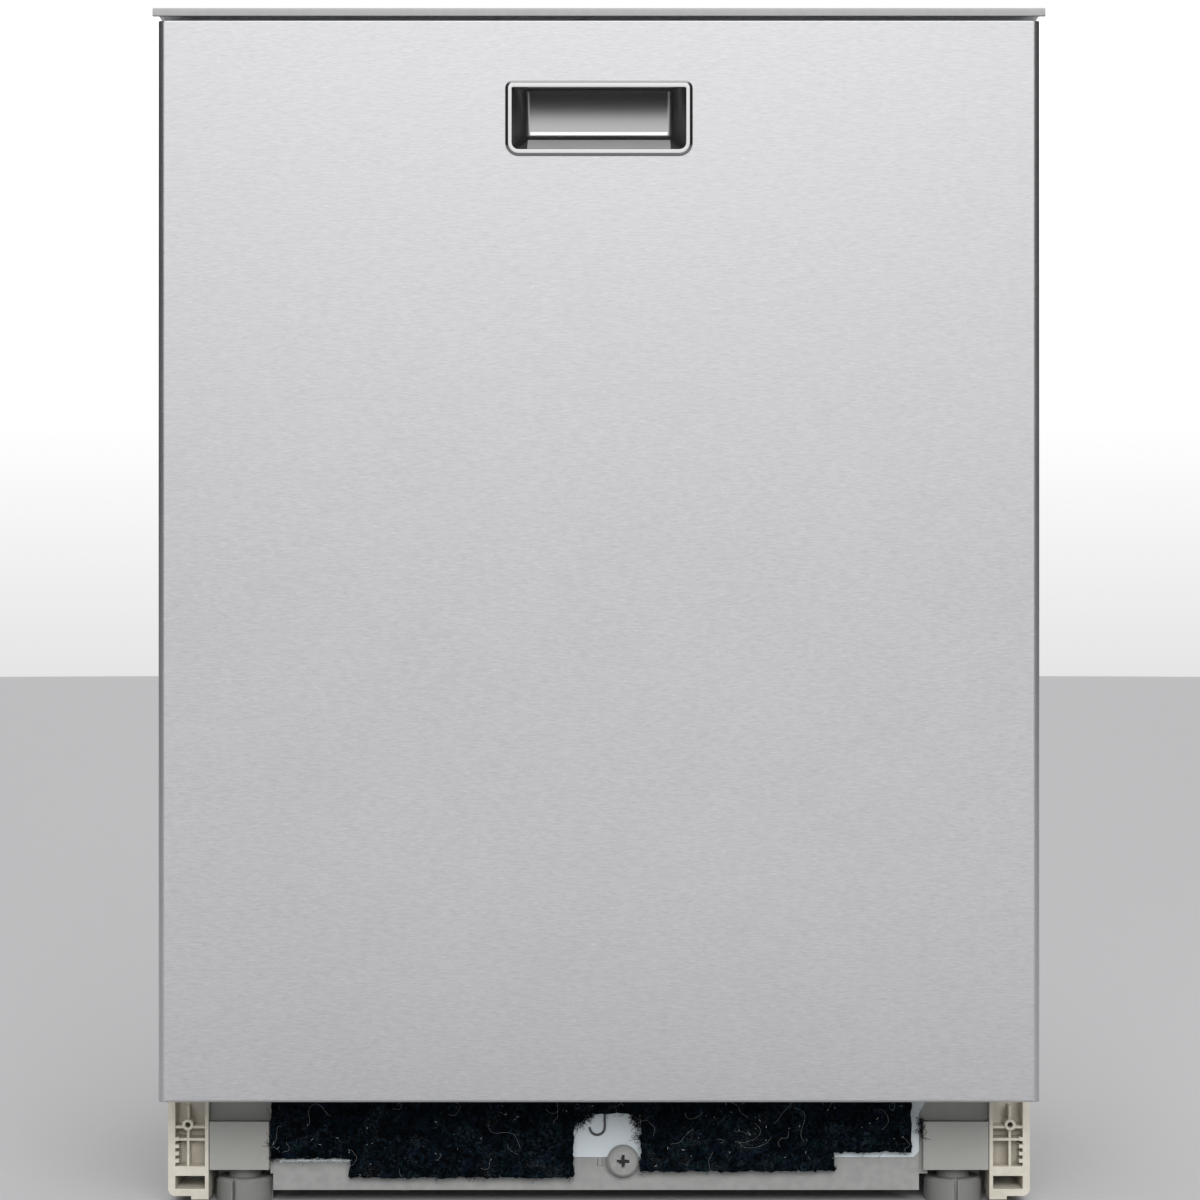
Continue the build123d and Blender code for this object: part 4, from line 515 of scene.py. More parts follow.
def fibre(slot, rgb, vivid=1.0, lint_share=0.5):
    """Matted textile felt; vivid says how far its blue and green patches stand out."""
    material, shader, place = start_material(slot)
    mat = effect(felt_fibre, place)
    blue = tuple(channel * (1.0 + vivid * more) for channel, more in zip(rgb, (2.4, 3.4, 5.0)))
    green = tuple(channel * (1.0 + vivid * more) for channel, more in zip(rgb, (2.2, 5.2, 4.6)))
    pale = tuple(channel * (0.3 + 18.0 * vivid) + 0.0015 for channel in rgb)
    tinge = place.noise(110.0, 3.0, 0.6, 1.5).ramp(0.55, 0.68)
    clump = place.noise(75.0, 2.0, 0.5, 1.2).ramp(0.38, 0.62, 0.15, 1.0)
    tone = mat["Patch"].between(opaque(rgb), opaque(blue))
    tone = tinge.between(tone, opaque(green))
    tone = (mat["Tangle"].ramp(0.48, 0.64) * clump).between(tone, opaque(pale))
    feed(shader, {
        "Base Color": (mat["Lint"] * lint_share).between(tone, LINT_COLOUR),
        "Roughness": 0.95,
        "Specular IOR Level": 0.04,
        "Sheen Weight": 0.01,
        "Normal": bump(mat["Height"], 0.9, 0.6 * MM),
    })
    return material


# finishes: the maker, the colour or the name of a settable one, then the maker's other values in its order
FINISHES = {
    "door_steel": (steel, "door_steel", 0.32, 0.46, 0.05, 0.12, 0.0),
    "inner_steel": (steel, (0.56, 0.57, 0.58), 0.30, 0.12, 0.05, 0.12, 0.25, 0.15),
    "trim_steel": (steel, "trim_steel", 0.24, 0.06, 0.12, 0.06),
    "handle_silver": (steel, "handle_silver", 0.20, 0.02, 0.06, 0.03, 0.0, 0.1),
    # partly painted shade: the pocket's walls in a darker copy of the silver
    "handle_well": (steel, "handle_well", 0.34, 0.03, 0.05, 0.03, 0.0, 0.1),
    # painted shade on the rim's sloped outer edge
    "handle_edge": (steel, "handle_edge", 0.18, 0.03, 0.05, 0.03, 0.0, 0.1),
    "zinc_steel": (steel, (0.50, 0.50, 0.50), 0.36, 0.06, 0.20, 0.15),
    "dark_wire": (steel, (0.10, 0.10, 0.10), 0.38, 0.10, 0.20, 0.10),
    # painted shade: a near-black finish for the pocket's roof and the floor's corners
    "handle_roof": (plastic, (0.036, 0.036, 0.036), 0.42, 1600.0, 0.04, 0.15, 0.0, 0.0),
    # partly painted shade: the pocket's floor as a darker satin grey
    "handle_floor": (plastic, "handle_floor", 0.32, 1600.0, 0.04, 0.15, 0.0, 0.0),
    "ivory_plastic": (plastic, "ivory_plastic", 0.45, 1600.0, 0.16, 0.15, 0.5),
    "base_grey": (plastic, "base_grey", 0.50, 1600.0, 0.05, 0.15, 0.1, 0.05),
    "foot_grey": (plastic, "foot_grey", 0.48, 1600.0, 0.16),
    "white_paint": (plastic, "white_paint", 0.38, 900.0, 0.08, 0.08, 0.2),
    "grey_paint": (plastic, "grey_paint", 0.42, 900.0, 0.12, 0.10, 0.25),
    "rubber_black": (plastic, (0.018, 0.018, 0.019), 0.60, 2200.0, 0.2, 0.2, 0.1, 0.12),
    "black_plastic": (plastic, (0.022, 0.022, 0.024), 0.34, 1800.0, 0.05, 0.12, 0.08, 0.0),
    "window_black": (plastic, (0.010, 0.011, 0.014), 0.12, 2600.0, 0.1, 0.02, 0.05, 0.02, 0.6),
    "rack_coating": (plastic, (0.42, 0.43, 0.44), 0.36, 1400.0, 0.08, 0.08, 0.15, 0.0),
    "grey_plastic": (plastic, (0.33, 0.34, 0.35), 0.42, 1600.0, 0.03, 0.15, 0.15, 0.02),
    "white_plastic": (plastic, (0.66, 0.66, 0.64), 0.42, 1600.0, 0.03, 0.15, 0.3, 0.02),
    "button_grey": (plastic, (0.17, 0.175, 0.18), 0.30, 2200.0, 0.03, 0.05, 0.1, 0.0, 0.3),
    "felt": (fibre, "felt"),
    "fleece": (fibre, "fleece", 0.16, 0.4),
}


def finish_for(slot):
    """The material of a slot, made on first use."""
    ready = bpy.data.materials.get("finish_" + slot)
    if ready:
        return ready
    maker, tint, *values = FINISHES[slot]
    rgb = getattr(bpy.context.scene.dishwasher_colours, tint) if isinstance(tint, str) else tint
    return maker(slot, rgb, *values)


def light_from_room(world):
    """A soft room: bright before and behind, dim at the sides, brighter overhead."""
    world.use_nodes = True
    tree = world.node_tree
    tree.nodes.clear()
    axes = values_of(add_node(tree, "SeparateXYZ", {0: lay(tree, "TexCoord", output="Generated")}))
    up = axes["Z"]
    wall = abs(axes["X"]).ramp(0.24, 0.54, 1.05, 0.05) * up.ramp(-0.16, 0.40, 0.58, 1.72)
    value = wall.larger(up.ramp(0.60, 0.95, 0.0, 0.95))
    tint = lay(tree, "CombineColor", {0: value, 1: value, 2: value * 1.01})
    sky = lay(tree, "Background", {"Color": tint, "Strength": bpy.context.scene.dishwasher_stage.sky})
    add_node(tree, "OutputWorld", {"Surface": sky})


FLOOR_RADIUS = 15.0
LAMP_PLACE = (0.4, -3.1, 1.5)
LAMP_AIM = (0, -0.2, 0.4)
LAMP_SIZE = (2.6, 1.3)
SENSOR_WIDTH = 36.0


class DISHWASHER_OT_stage(bpy.types.Operator):
    """Floor, room light and camera at the photograph's view"""

    bl_idname = "dishwasher.stage"
    bl_label = "Stage and camera"

    def execute(self, context):
        stage = context.scene.dishwasher_stage
        context.scene.view_settings.view_transform = "Standard"
        self.ground(stage)
        context.scene.world = bpy.data.worlds.new("Soft room")
        light_from_room(context.scene.world)
        self.lamp(stage)
        clear_choice()
        bpy.ops.object.camera_add(
            location=(stage.aside, -stage.distance, stage.height), rotation=(math.radians(90), 0, 0)
        )
        camera = context.object
        camera.data.sensor_width = SENSOR_WIDTH
        camera.data.lens = stage.lens
        camera.data.dof.use_dof = False
        context.scene.camera = camera
        return {"FINISHED"}

    def ground(self, stage):
        floor = primitive(
            "circle", "floor", vertices=96, radius=FLOOR_RADIUS, fill_type="NGON", location=(0, 0, 0)
        )
        material, shader, place = start_material("pale_floor")
        cloud = effect(moulding_grain, place, Grain=300.0, Contrast=0.02)
        feed(shader, {"Base Color": shaded(stage.floor, cloud["Shade"]), "Roughness": 0.8})
        floor.data.materials.append(material)

    def lamp(self, stage):
        """A wide lamp in front, above and to the right, that no surface mirrors."""
        clear_choice()
        bpy.ops.object.light_add(type="AREA", location=LAMP_PLACE)
        lamp = bpy.context.object
        lamp.name = "key_lamp"
        lamp.data.shape = "RECTANGLE"
        lamp.data.size, lamp.data.size_y = LAMP_SIZE
        lamp.data.energy = stage.key
        lamp.visible_camera = False
        lamp.visible_glossy = False
        lamp.rotation_euler = (Vector(LAMP_AIM) - lamp.location).to_track_quat("-Z", "Y").to_euler()


DOOR_SHEET = 0.8 * MM
RIM_LAP = 6.4 * MM  # how much smaller the door's cut-out is than the handle's rim, both sides together
TRIM_SHEET = 0.6 * MM
TRIM_BEND = 1.5 * MM
TRIM_HEM = 0.7 * MM
TRIM_TUCK = 1.2 * MM  # how far the hem runs back under the strip
TRIM_EDGE = 0.15 * MM
CUT_DEPTH = 8 * MM


class DISHWASHER_OT_door(bpy.types.Operator):
    """Door panel, liner and the pieces set into them"""

    bl_idname = "dishwasher.door"
    bl_label = "Door"

    def execute(self, context):
        self.panel()
        self.trim()
        rounded_copy("door_liner", sizes().steel_edge)
        rounded_copies(sizes().moulding_edge, "console", "dispenser_body", "dispenser_lid", "rinse_aid_cap")
        for node in ("power_button", "program_button", "option_button", "start_button"):
            rounded_copy(node, BUTTON_EDGE).data.materials[0] = finish_for("button_grey")
        rounded_copy("display_window", BUTTON_EDGE)
        rounded_copy("latch_lever", LEVER_EDGE)
        rounded_copy("hinge_arms", ARM_EDGE)
        rounded_copies(SMALL_EDGE, "liner_screws", "lower_door_seal", "door_gasket", "control_board")
        return {"FINISHED"}

    def panel(self):
        """Sheet drawn round both sides, with tighter folds above and below and a cut-out for the handle."""
        size = sizes()
        low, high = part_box("door_panel")
        bend, top, bottom = size.door_bend, size.door_top_bend, size.door_bottom_bend
        steps = [(0, low.y - high.y + bend, 0)]
        steps += [(bend * a, -bend * b, 0) for a, b in quarter(6)]
        steps += [(high.x - low.x - 2 * bend, 0, 0)]
        steps += [(bend * b, bend * a, 0) for a, b in quarter(6)]
        steps += [(0, high.y - low.y - bend, 0)]
        panel = drawn_sheet(
            "door_panel_shell", (low.x, high.y, low.z + bottom), (low.x, high.y, high.z - top), steps
        )
        self.fold(top, high.z - top, 1, low.y, high.y)
        self.fold(bottom, low.z + bottom, -1, low.y, high.y)
        face_outwards(panel, (0, -1, 0))
        apply(panel, "SOLIDIFY", "Sheet", thickness=DOOR_SHEET, offset=-1.0)
        left, right = (corner.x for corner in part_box("handle_pocket"))
        window = box(
            ((left + right) / 2, low.y, high.z - size.rim_drop - size.rim_height / 2),
            (right - left - RIM_LAP, CUT_DEPTH, size.rim_height - RIM_LAP),
        )
        cut(panel, window, "Handle cut-out")
        settle(panel, "door", "door_steel", ["door_panel"], 40.0)

    def fold(self, radius, level, way, front, back):
        """Turns the sheet's front over at its upper or lower edge, and draws its sides level with that."""

        def at_edge(item):
            return item.is_boundary and all(abs(vert.co.z - level) < TOUCH for vert in item.verts)

        mark("edges", lambda item: at_edge(item) and all(vert.co.y < front + TOUCH for vert in item.verts))
        draw([(0, radius * a, way * radius * b) for a, b in quarter(4)])
        draw([(0, back - front - radius - MM, 0)])
        mark("edges", lambda item: at_edge(item) and any(vert.co.y > front + TOUCH for vert in item.verts))
        draw([(0, 0, way * (radius - 0.1 * MM))])

    def trim(self):
        """Strip with a rounded upper edge and a turned-in hem, pierced for its two screws."""
        low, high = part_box("top_trim")
        steps = [(0, -TRIM_TUCK, 0)]
        steps += [(0, -TRIM_HEM * b, TRIM_HEM * a) for a, b in quarter(3)]
        steps += [(0, 0, high.z - low.z - TRIM_HEM - TRIM_BEND)]
        steps += [(0, TRIM_BEND * a, TRIM_BEND * b) for a, b in quarter(5)]
        steps += [(0, high.y - low.y - TRIM_BEND, 0)]
        start = low.y + TRIM_HEM + TRIM_TUCK
        trim = drawn_sheet("top_trim_shell", (low.x, start, low.z), (high.x, start, low.z), steps)
        face_outwards(trim, (0, -1, 0))
        apply(trim, "SOLIDIFY", "Sheet", thickness=TRIM_SHEET, offset=-1.0)
        self.pierce(trim)
        soften(trim, TRIM_EDGE, 2, 50.0)
        settle(trim, BODY_OF["top_trim"], "trim_steel", ["top_trim"], 40.0)

    def pierce(self, trim):
        """Screw holes where the record's mount has them."""
        mount = next(item for item in frame["record"]["mounts"] if item["name"] == "worktop_screws")
        x, y, z = mount["pos_m"]
        for side in (-1, 1):
            drill = primitive(
                "cylinder", "drill", vertices=32, radius=mount["dims"]["hole_r_mm"] * MM, depth=CUT_DEPTH,
                location=(x + side * mount["dims"]["spacing_x_mm"] / 2 * MM, y, z),
            )
            cut(trim, drill, "Screw hole")


def quarter(parts):
    """Steps along a quarter turn: what the start lacks in one direction is gained in the other."""
    turns = [math.pi / 2 * step / parts for step in range(parts + 1)]
    return [(math.cos(a) - math.cos(b), math.sin(b) - math.sin(a)) for a, b in zip(turns, turns[1:])]


def draw(steps):
    """Pulls what is selected out by a list of moves."""
    for step in steps:
        bpy.ops.mesh.extrude_region_move(TRANSFORM_OT_translate={"value": step})


def drawn_sheet(name, first, second, steps):
    """A sheet drawn from one straight edge by a list of moves; it is left in edit mode."""
    sheet = primitive("plane", name, size=1.0)
    edit(sheet)
    mark("verts", lambda vert: vert.co.y > 0)
    bpy.ops.mesh.delete(type="VERT")
    mesh = bmesh.from_edit_mesh(sheet.data)
    for vert, place in zip(mesh.verts, (first, second)):
        vert.co = place
    bmesh.update_edit_mesh(sheet.data)
    mark("edges", lambda edge: True)
    draw(steps)
    return sheet


def face_outwards(piece, way):
    """Points a sheet's faces one way, judged by its largest face."""
    edit(piece)
    bpy.ops.mesh.select_all(action="SELECT")
    bpy.ops.mesh.remove_doubles(threshold=TOUCH)
    bpy.ops.mesh.normals_make_consistent(inside=False)
    mesh = bmesh.from_edit_mesh(piece.data)
    largest = max(mesh.faces, key=lambda face: face.calc_area())
    if largest.normal.dot(Vector(way)) < 0:
        bpy.ops.mesh.flip_normals()
    leave_edit()


# the rim's section from its outer edge to the mouth, in mm: steps inwards and forwards
RIM_SLOPE = ((0.05, 0.25), (0.65, 0.52), (0.75, 0.47), (0.50, 0.22), (0.20, 0.04))
RIM_LAND = 2.05
MOUTH_ROUND = ((0.15, -0.05), (0.20, -0.20), (0.15, -0.40))
RIM_SECTION = RIM_SLOPE + ((RIM_LAND, 0.0),) + MOUTH_ROUND
RIM_REACH = 1.5 * MM  # what lies less far behind the door's face belongs to the rim
POCKET_WALL = 0.4 * MM
POCKET_ROOF = 4.0 * MM  # how far the pocket's roof climbs to its back wall
POCKET_LEAN = math.radians(10.5)
PAINTED_HIGHLIGHT_STRIP = 1.5 * MM  # strip of painted highlight along the back wall's foot
BACK_AREA = 100 * MM * MM  # the back wall is larger than this, the faces of its fold are smaller
WELL_AREA = 250 * MM * MM  # the back wall above its strip is larger than this
# one plated part in five finishes: painted shade on the roof, the floor's corners and the rim's outer slope,
# partly painted shade on the walls and floor, and a painted highlight on the back wall's fold
HANDLE_FINISHES = ("handle_silver", "handle_well", "handle_floor", "handle_roof", "handle_edge")
SILVER, WELL, FLOOR, PAINTED_SHADE_ROOF, PAINTED_SHADE_SLOPE = range(len(HANDLE_FINISHES))


class DISHWASHER_OT_handle(bpy.types.Operator):
    """Handle pocket with its raised rim, leaning back wall and sloped floor"""

    bl_idname = "dishwasher.handle"
    bl_label = "Handle pocket"

    def execute(self, context):
        size = sizes()
        low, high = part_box("handle_pocket")
        door_low, door_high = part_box("door_panel")
        mid = ((low.x + high.x) / 2, door_low.y, door_high.z - size.rim_drop - size.rim_height / 2)
        pocket = self.rim(mid, high.x - low.x)
        band = 2 * sum(inwards for inwards, _ in RIM_SECTION) * MM
        mouth = (high.x - low.x - band, size.rim_height - band)
        floor_half = mouth[0] / 2 - size.pocket_draft - size.pocket_fold / 2
        self.well(pocket, mid, mouth)
        self.divide(pocket, mid, floor_half)
        apply(pocket, "SOLIDIFY", "Wall", thickness=POCKET_WALL, offset=-1.0)
        settle(pocket, "door", "handle_silver", ["handle_pocket"], 32.0)
        for finish in HANDLE_FINISHES[1:]:
            pocket.data.materials.append(finish_for(finish))
        for face in pocket.data.polygons:
            face.material_index = self.finish_of(face, mid, floor_half)
        return {"FINISHED"}

    def rim(self, mid, width):
        """Outline of the rim, stepped in to the mouth; it is left in edit mode."""
        size = sizes()
        pocket = primitive(
            "plane", "handle_pocket_shell", size=1.0, location=mid, rotation=(math.radians(90), 0, 0)
        )
        pocket.scale = (width, size.rim_height, 1.0)
        fix_place()
        edit(pocket)
        mark("verts", lambda vert: vert.co.z > mid[2])
        bpy.ops.mesh.bevel(offset=size.rim_corner, segments=8, affect="VERTICES")
        mark("verts", lambda vert: vert.co.z < mid[2] - size.rim_height / 2 + MM)
        bpy.ops.mesh.bevel(offset=size.rim_lower_corner, segments=10, affect="VERTICES")
        mark("faces", lambda face: True)
        for inwards, forwards in RIM_SECTION:
            bpy.ops.mesh.inset(thickness=inwards * MM, depth=forwards * MM, use_even_offset=True)
        return pocket

    def well(self, pocket, mid, mouth):
        """Draws the mouth back, narrows it, leans the back wall and rounds the fold about it."""
        size = sizes()
        draw([(0, size.pocket_depth, 0)])
        back = (mid[0], mid[1] + size.pocket_depth, mid[2])
        narrow = 1 - 2 * size.pocket_draft / mouth[0]
        lower = (mouth[1] + POCKET_ROOF - size.pocket_rise) / mouth[1]
        shift = (size.pocket_rise + POCKET_ROOF) / 2
        bpy.ops.transform.resize(value=(narrow, 1.0, lower), center_override=back)
        bpy.ops.transform.translate(value=(0, 0, shift))
        half_way = mid[1] + 0.5 * size.pocket_depth

        def at_back(face):
            return face.normal.y < -0.9 and face.calc_center_median().y > half_way

        mark("faces", at_back)
        mesh = bmesh.from_edit_mesh(pocket.data)
        for vert in mesh.verts:
            if vert.select:
                vert.co.y += (vert.co.z - back[2] - shift) * math.tan(POCKET_LEAN)
        mesh.normal_update()
        bmesh.update_edit_mesh(pocket.data)
        mark("verts", lambda vert: vert.co.y > half_way and vert.co.z > mid[2])
        bpy.ops.mesh.remove_doubles(threshold=MM)
        mark("faces", at_back)
        bpy.ops.mesh.region_to_loop()
        bpy.ops.mesh.bevel(offset=size.pocket_fold, segments=7, affect="EDGES")

    def divide(self, pocket, mid, floor_half):
        """Parts the strip of painted highlight at the back wall's foot, and the floor from its corners of
        painted shade.
        """

        def on_back_wall(face):
            behind = face.calc_center_median().y > mid[1] + MM
            return behind and face.normal.y < -0.9 and face.calc_area() > BACK_AREA

        def on_floor(face):
            return face.normal.z > 0.88 and face.calc_center_median().y > mid[1] + MM

        mark("faces", on_back_wall)
        wall = [face for face in bmesh.from_edit_mesh(pocket.data).faces if face.select]
        foot = min(vert.co.z for face in wall for vert in face.verts)
        bpy.ops.mesh.bisect(plane_co=(0, 0, foot + PAINTED_HIGHLIGHT_STRIP), plane_no=(0, 0, 1))
        for side in (-1, 1):
            mark("faces", on_floor)
            bpy.ops.mesh.bisect(plane_co=(mid[0] + side * floor_half, 0, 0), plane_no=(1, 0, 0))
        leave_edit()

    def finish_of(self, face, mid, floor_half):
        """Which of the handle's finishes a face has, by its place and the way it faces; the darker finishes
        are wholly or partly painted shade, and the silver on the back wall's fold is a painted highlight.
        """
        normal, upper = face.normal, face.center.z > mid[2]
        if face.center.y < mid[1] + RIM_REACH:
            outward = (face.center - Vector(mid)).dot(Vector((normal.x, 0, normal.z)))
            # the rim's outer slope takes the darker steel of painted shade, its top the plated silver
            return PAINTED_SHADE_SLOPE if normal.y > -0.97 and outward > 0 else SILVER
        level = normal.z > 0.88
        # the roof and the floor's corners take the near-black finish of painted shade
        if level and abs(face.center.x - mid[0]) > floor_half or normal.z < -0.15 and upper:
            return PAINTED_SHADE_ROOF
        if level and not upper:
            return FLOOR
        aslant = normal.z < 0.1 or abs(normal.x) > 0.05 or normal.y > -0.86
        # the fold's small faces that face the front take the plated silver: a painted highlight
        return WELL if face.area > WELL_AREA or aslant else SILVER


BLOCK_EDGE = 1.8 * MM  # rounding of the leg blocks' upper front edges
HEAD_EDGE = 1.1 * MM
CROSS_ARM = (5.8 * MM, 4.6 * MM, 1.9 * MM)
CROSS_PLACE = 1.2 * MM  # middle of the cross recess behind the head's front
CROSS_TURN = math.radians(-14)
CROSS_REACH = 3.5 * MM
CROSS_SHADE_DEPTHS = (0.4 * MM, 4.0 * MM)  # the recess's faces in painted shade lie this far behind the head's front
SEAT_RADIUS = 13.2 * MM
SEAT_ROUND = 0.9 * MM
MARK_PLACE = (-17.5 * MM, -3.6 * MM)  # the pressed mark's lower left corner from the screw's middle
MARK_SIZE = (3.4 * MM, 4.6 * MM)
MARK_LINE = 1.1 * MM


class DISHWASHER_OT_base(bpy.types.Operator):
    """Leg brackets, base moulding, plates, feet and the rear foot's adjuster"""

    bl_idname = "dishwasher.base"
    bl_label = "Base"

    def execute(self, context):
        edge = sizes().moulding_edge
        rounded_copies(BRACKET_EDGE, "leg_bracket_left", "leg_bracket_right")
        self.tray(edge)
        rounded_copies(PLATE_EDGE, "lower_cover_plate", "white_cover_plate")
        for node in ("front_foot_left", "front_foot_right", "rear_foot"):
            rounded_copy(node, FOOT_EDGE, 3)
        self.adjuster()
        rounded_copies(
            edge, "rear_foot_gearbox", "circulation_pump", "drain_pump", "inlet_valve", "drain_outlet",
            "cable_gland", "sump",
        )
        rounded_copy("felt_hook", 0.0, smooth=60.0)
        return {"FINISHED"}

    def tray(self, edge):
        """Base moulding, with a softer upper front edge on its leg blocks."""
        tray = traced("base_tray", "base_tray_shell")
        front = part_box("base_tray")[0].y
        edit(tray)

        def upper_front(item):
            ends = [vert.co for vert in item.verts]
            level = abs(ends[0].z - ends[1].z) < 0.1 * MM and abs(ends[0].x - ends[1].x) > 10 * MM
            return level and all(end.y < front + 0.1 * MM and end.z > 50 * MM for end in ends)

        mark("edges", upper_front)
        bpy.ops.mesh.bevel(offset=BLOCK_EDGE, segments=4, affect="EDGES")
        leave_edit()
        soften(tray, edge)
        settle_for(tray, "base_tray")

    def adjuster(self):
        """Domed screw head with a cross recess in painted shade, the round seat under it and the plate's
        pressed mark in painted shade.
        """
        low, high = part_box("adjuster_spindle")
        x, z, front = (low.x + high.x) / 2, (low.z + high.z) / 2, low.y
        screw = traced("adjuster_spindle", "adjuster_spindle_shell")
        soften(screw, HEAD_EDGE, 4)
        for arm in (0.0, math.radians(90)):
            cut(screw, box((x, front + CROSS_PLACE, z), CROSS_ARM, arm + CROSS_TURN), "Cross recess")
        settle(screw, "adjuster_spindle", "grey_paint", ["adjuster_spindle"], 32.0)
        # painted shade: black plastic on the cross recess's inner faces
        screw.data.materials.append(finish_for("black_plastic"))
        for face in screw.data.polygons:
            aside = math.hypot(face.center.x - x, face.center.z - z)
            if aside < CROSS_REACH and CROSS_SHADE_DEPTHS[0] < face.center.y - front < CROSS_SHADE_DEPTHS[1]:
                face.material_index = 1
        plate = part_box("lower_cover_plate")[0].y
        seat = primitive(
            "torus", "adjuster_seat", major_radius=SEAT_RADIUS, minor_radius=SEAT_ROUND, major_segments=72,
            minor_segments=10, location=(x, plate, z), rotation=(math.radians(90), 0, 0),
        )
        fix_place()
        edit(seat)
        bpy.ops.mesh.select_all(action="SELECT")
        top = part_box("white_cover_plate")[0].z - 0.2 * MM
        bpy.ops.mesh.bisect(plane_co=(x, plate, top), plane_no=(0, 0, 1), clear_outer=True, use_fill=True)
        leave_edit()
        settle(seat, "cabinet", "grey_paint")
        # painted shade: the pressed mark's raised lines take the darker foot grey
        left, foot = x + MARK_PLACE[0], z + MARK_PLACE[1]
        right, head = left + MARK_SIZE[0], foot + MARK_SIZE[1]
        line = [(left, plate, head), (left, plate, foot), (right, plate, foot), (right, plate, head)]
        settle(strands("plate_mark", [line], MARK_LINE), "cabinet", "foot_grey")


# the felt's steps from left to right, in mm: their side edges, and the lower edge of each
FELT_STEPS = (-227.0, -172.0, -18.7, 28.4, 164.0, 216.0)
FELT_LOWER = (30.9, 18.4, 62.0, 23.9, 36.4)


def felt_edge(x):
    """Height of the felt's lower edge at a place along it, or None beside it."""
    for left, right, lower in zip(FELT_STEPS, FELT_STEPS[1:], FELT_LOWER):
        if left * MM <= x < right * MM:
            return lower * MM
    return None


def felt_spot(dice, low, high):
    """A place along the felt, with the height of its lower edge there."""
    while True:
        x = dice.uniform(low.x, high.x)
        edge = felt_edge(x)
        if edge is not None:
            return x, edge


WIRE_SIDES = 8


def wire_lines(node):
    """Middle lines of a rack's straight wires by radius, read from the eight-sided ends of its solids."""
    mesh = bmesh.new()
    mesh.from_mesh(frame["nodes"][node].data)
    ends, seen = [], set()
    for face in mesh.faces:
        island, waiting = [], [face]
        while waiting:
            item = waiting.pop()
            if item not in seen:
                seen.add(item)
                island.append(item)
                waiting += [other for edge in item.edges for other in edge.link_faces]
        corners = {vert for item in island for vert in item.verts}
        if len(corners) == WIRE_SIDES:
            centre = sum((vert.co for vert in corners), Vector()) / WIRE_SIDES
            reach = max((vert.co - centre).length for vert in corners)
            ends.append((centre, face.normal.copy(), reach * math.cos(math.pi / WIRE_SIDES)))
    mesh.free()
    lines = {}
    for place, way, radius in ends:
        if sum(way) > 0:
            continue
        gaps = [other - place for other, facing, _ in ends if facing.dot(way) < -0.99]
        gaps = [gap for gap in gaps if gap.dot(way) < -MM and gap.cross(way).length < 0.1 * MM]
        if gaps:
            far = min(gaps, key=lambda gap: gap.length)
            lines.setdefault(round(radius, 5), []).append((place, place + far))
    return lines


def strands(name, lines, thickness, roundness=0):
    """Fine threads along the given lines, as one mesh."""
    data = bpy.data.curves.new(name, "CURVE")
    data.dimensions = "3D"
    data.bevel_depth = thickness / 2
    data.bevel_resolution = roundness
    data.use_fill_caps = True
    for line in lines:
        spline = data.splines.new("POLY")
        spline.points.add(len(line) - 1)
        for point, place in zip(spline.points, line):
            point.co = (place[0], place[1], place[2], 1.0)
    piece = bpy.data.objects.new(name, data)
    bpy.context.scene.collection.objects.link(piece)
    choose(piece)
    bpy.ops.object.convert(target="MESH")
    return bpy.context.object


def wander(dice, start, heading, reach, steps, turn, lift):
    """A curly line that starts at a place and drifts over the felt's face."""
    place, line, angle = list(start), [tuple(start)], heading
    curl = dice.uniform(-turn, turn)
    for step in range(steps):
        curl = 0.7 * curl + 0.5 * dice.uniform(-turn, turn)
        angle += curl
        place[0] += math.cos(angle) * reach / steps
        place[2] += math.sin(angle) * reach / steps
        line.append((place[0], place[1] - lift * math.sin(math.pi * (step + 1) / (steps + 1)), place[2]))
    return line


ANY_WAY = 6.28


def tuft(dice, x, y, z, wide, tall, count):
    """A clump of tangled hairs about a place."""
    lines = []
    for _ in range(count):
        start = (x + dice.gauss(0, wide), y + dice.uniform(-1.0, 2.0) * MM, z + dice.gauss(0, tall))
        reach = dice.uniform(1.2, 3.0) * max(wide, tall)
        lines.append(wander(dice, start, dice.uniform(0.0, ANY_WAY), reach, 6, 1.2, 0.6 * MM))
    return lines


# clumps along the felt: place, spread across and up in mm, and number of hairs
FELT_TUFTS = (
    (-16.5, 58.5, 2.6, 1.9, 170), (-12.0, 60.5, 2.2, 1.5, 120), (-7.0, 61.5, 1.6, 1.0, 60),
    (25.0, 60.5, 2.0, 1.4, 110), (27.5, 55.0, 1.2, 1.6, 80), (28.0, 46.0, 0.6, 3.0, 24),
    (222.6, 57.0, 0.3, 1.8, 46), (222.8, 51.0, 0.4, 2.6, 40), (-226.5, 44.0, 0.7, 3.0, 26),
    (-226.0, 32.0, 1.2, 0.9, 30), (-170.0, 19.5, 1.0, 0.8, 10), (164.0, 25.0, 1.0, 0.8, 10),
    (214.5, 40.0, 0.8, 1.0, 14), (30.0, 22.5, 0.4, 1.6, 5),
)
FELT_LUMPS = ((14.0, 2.0), (4.0, 1.0))  # size and height of the felt's lumps in mm
EDGE_RAGGED = 1.1 * MM
EDGE_SHARE = 0.08  # share of the dark hairs that hang from the lower edge
EDGE_LINT = 220

# shortest and longest hairs, threads and bits of lint, in mm
EDGE_REACH = (1.5, 6.0)
HAIR_REACH = (5.0, 13.0)
THREAD_REACH = (6.0, 32.0)
LINT_REACH = (0.5, 2.2)
EDGE_LINT_REACH = (0.8, 2.5)


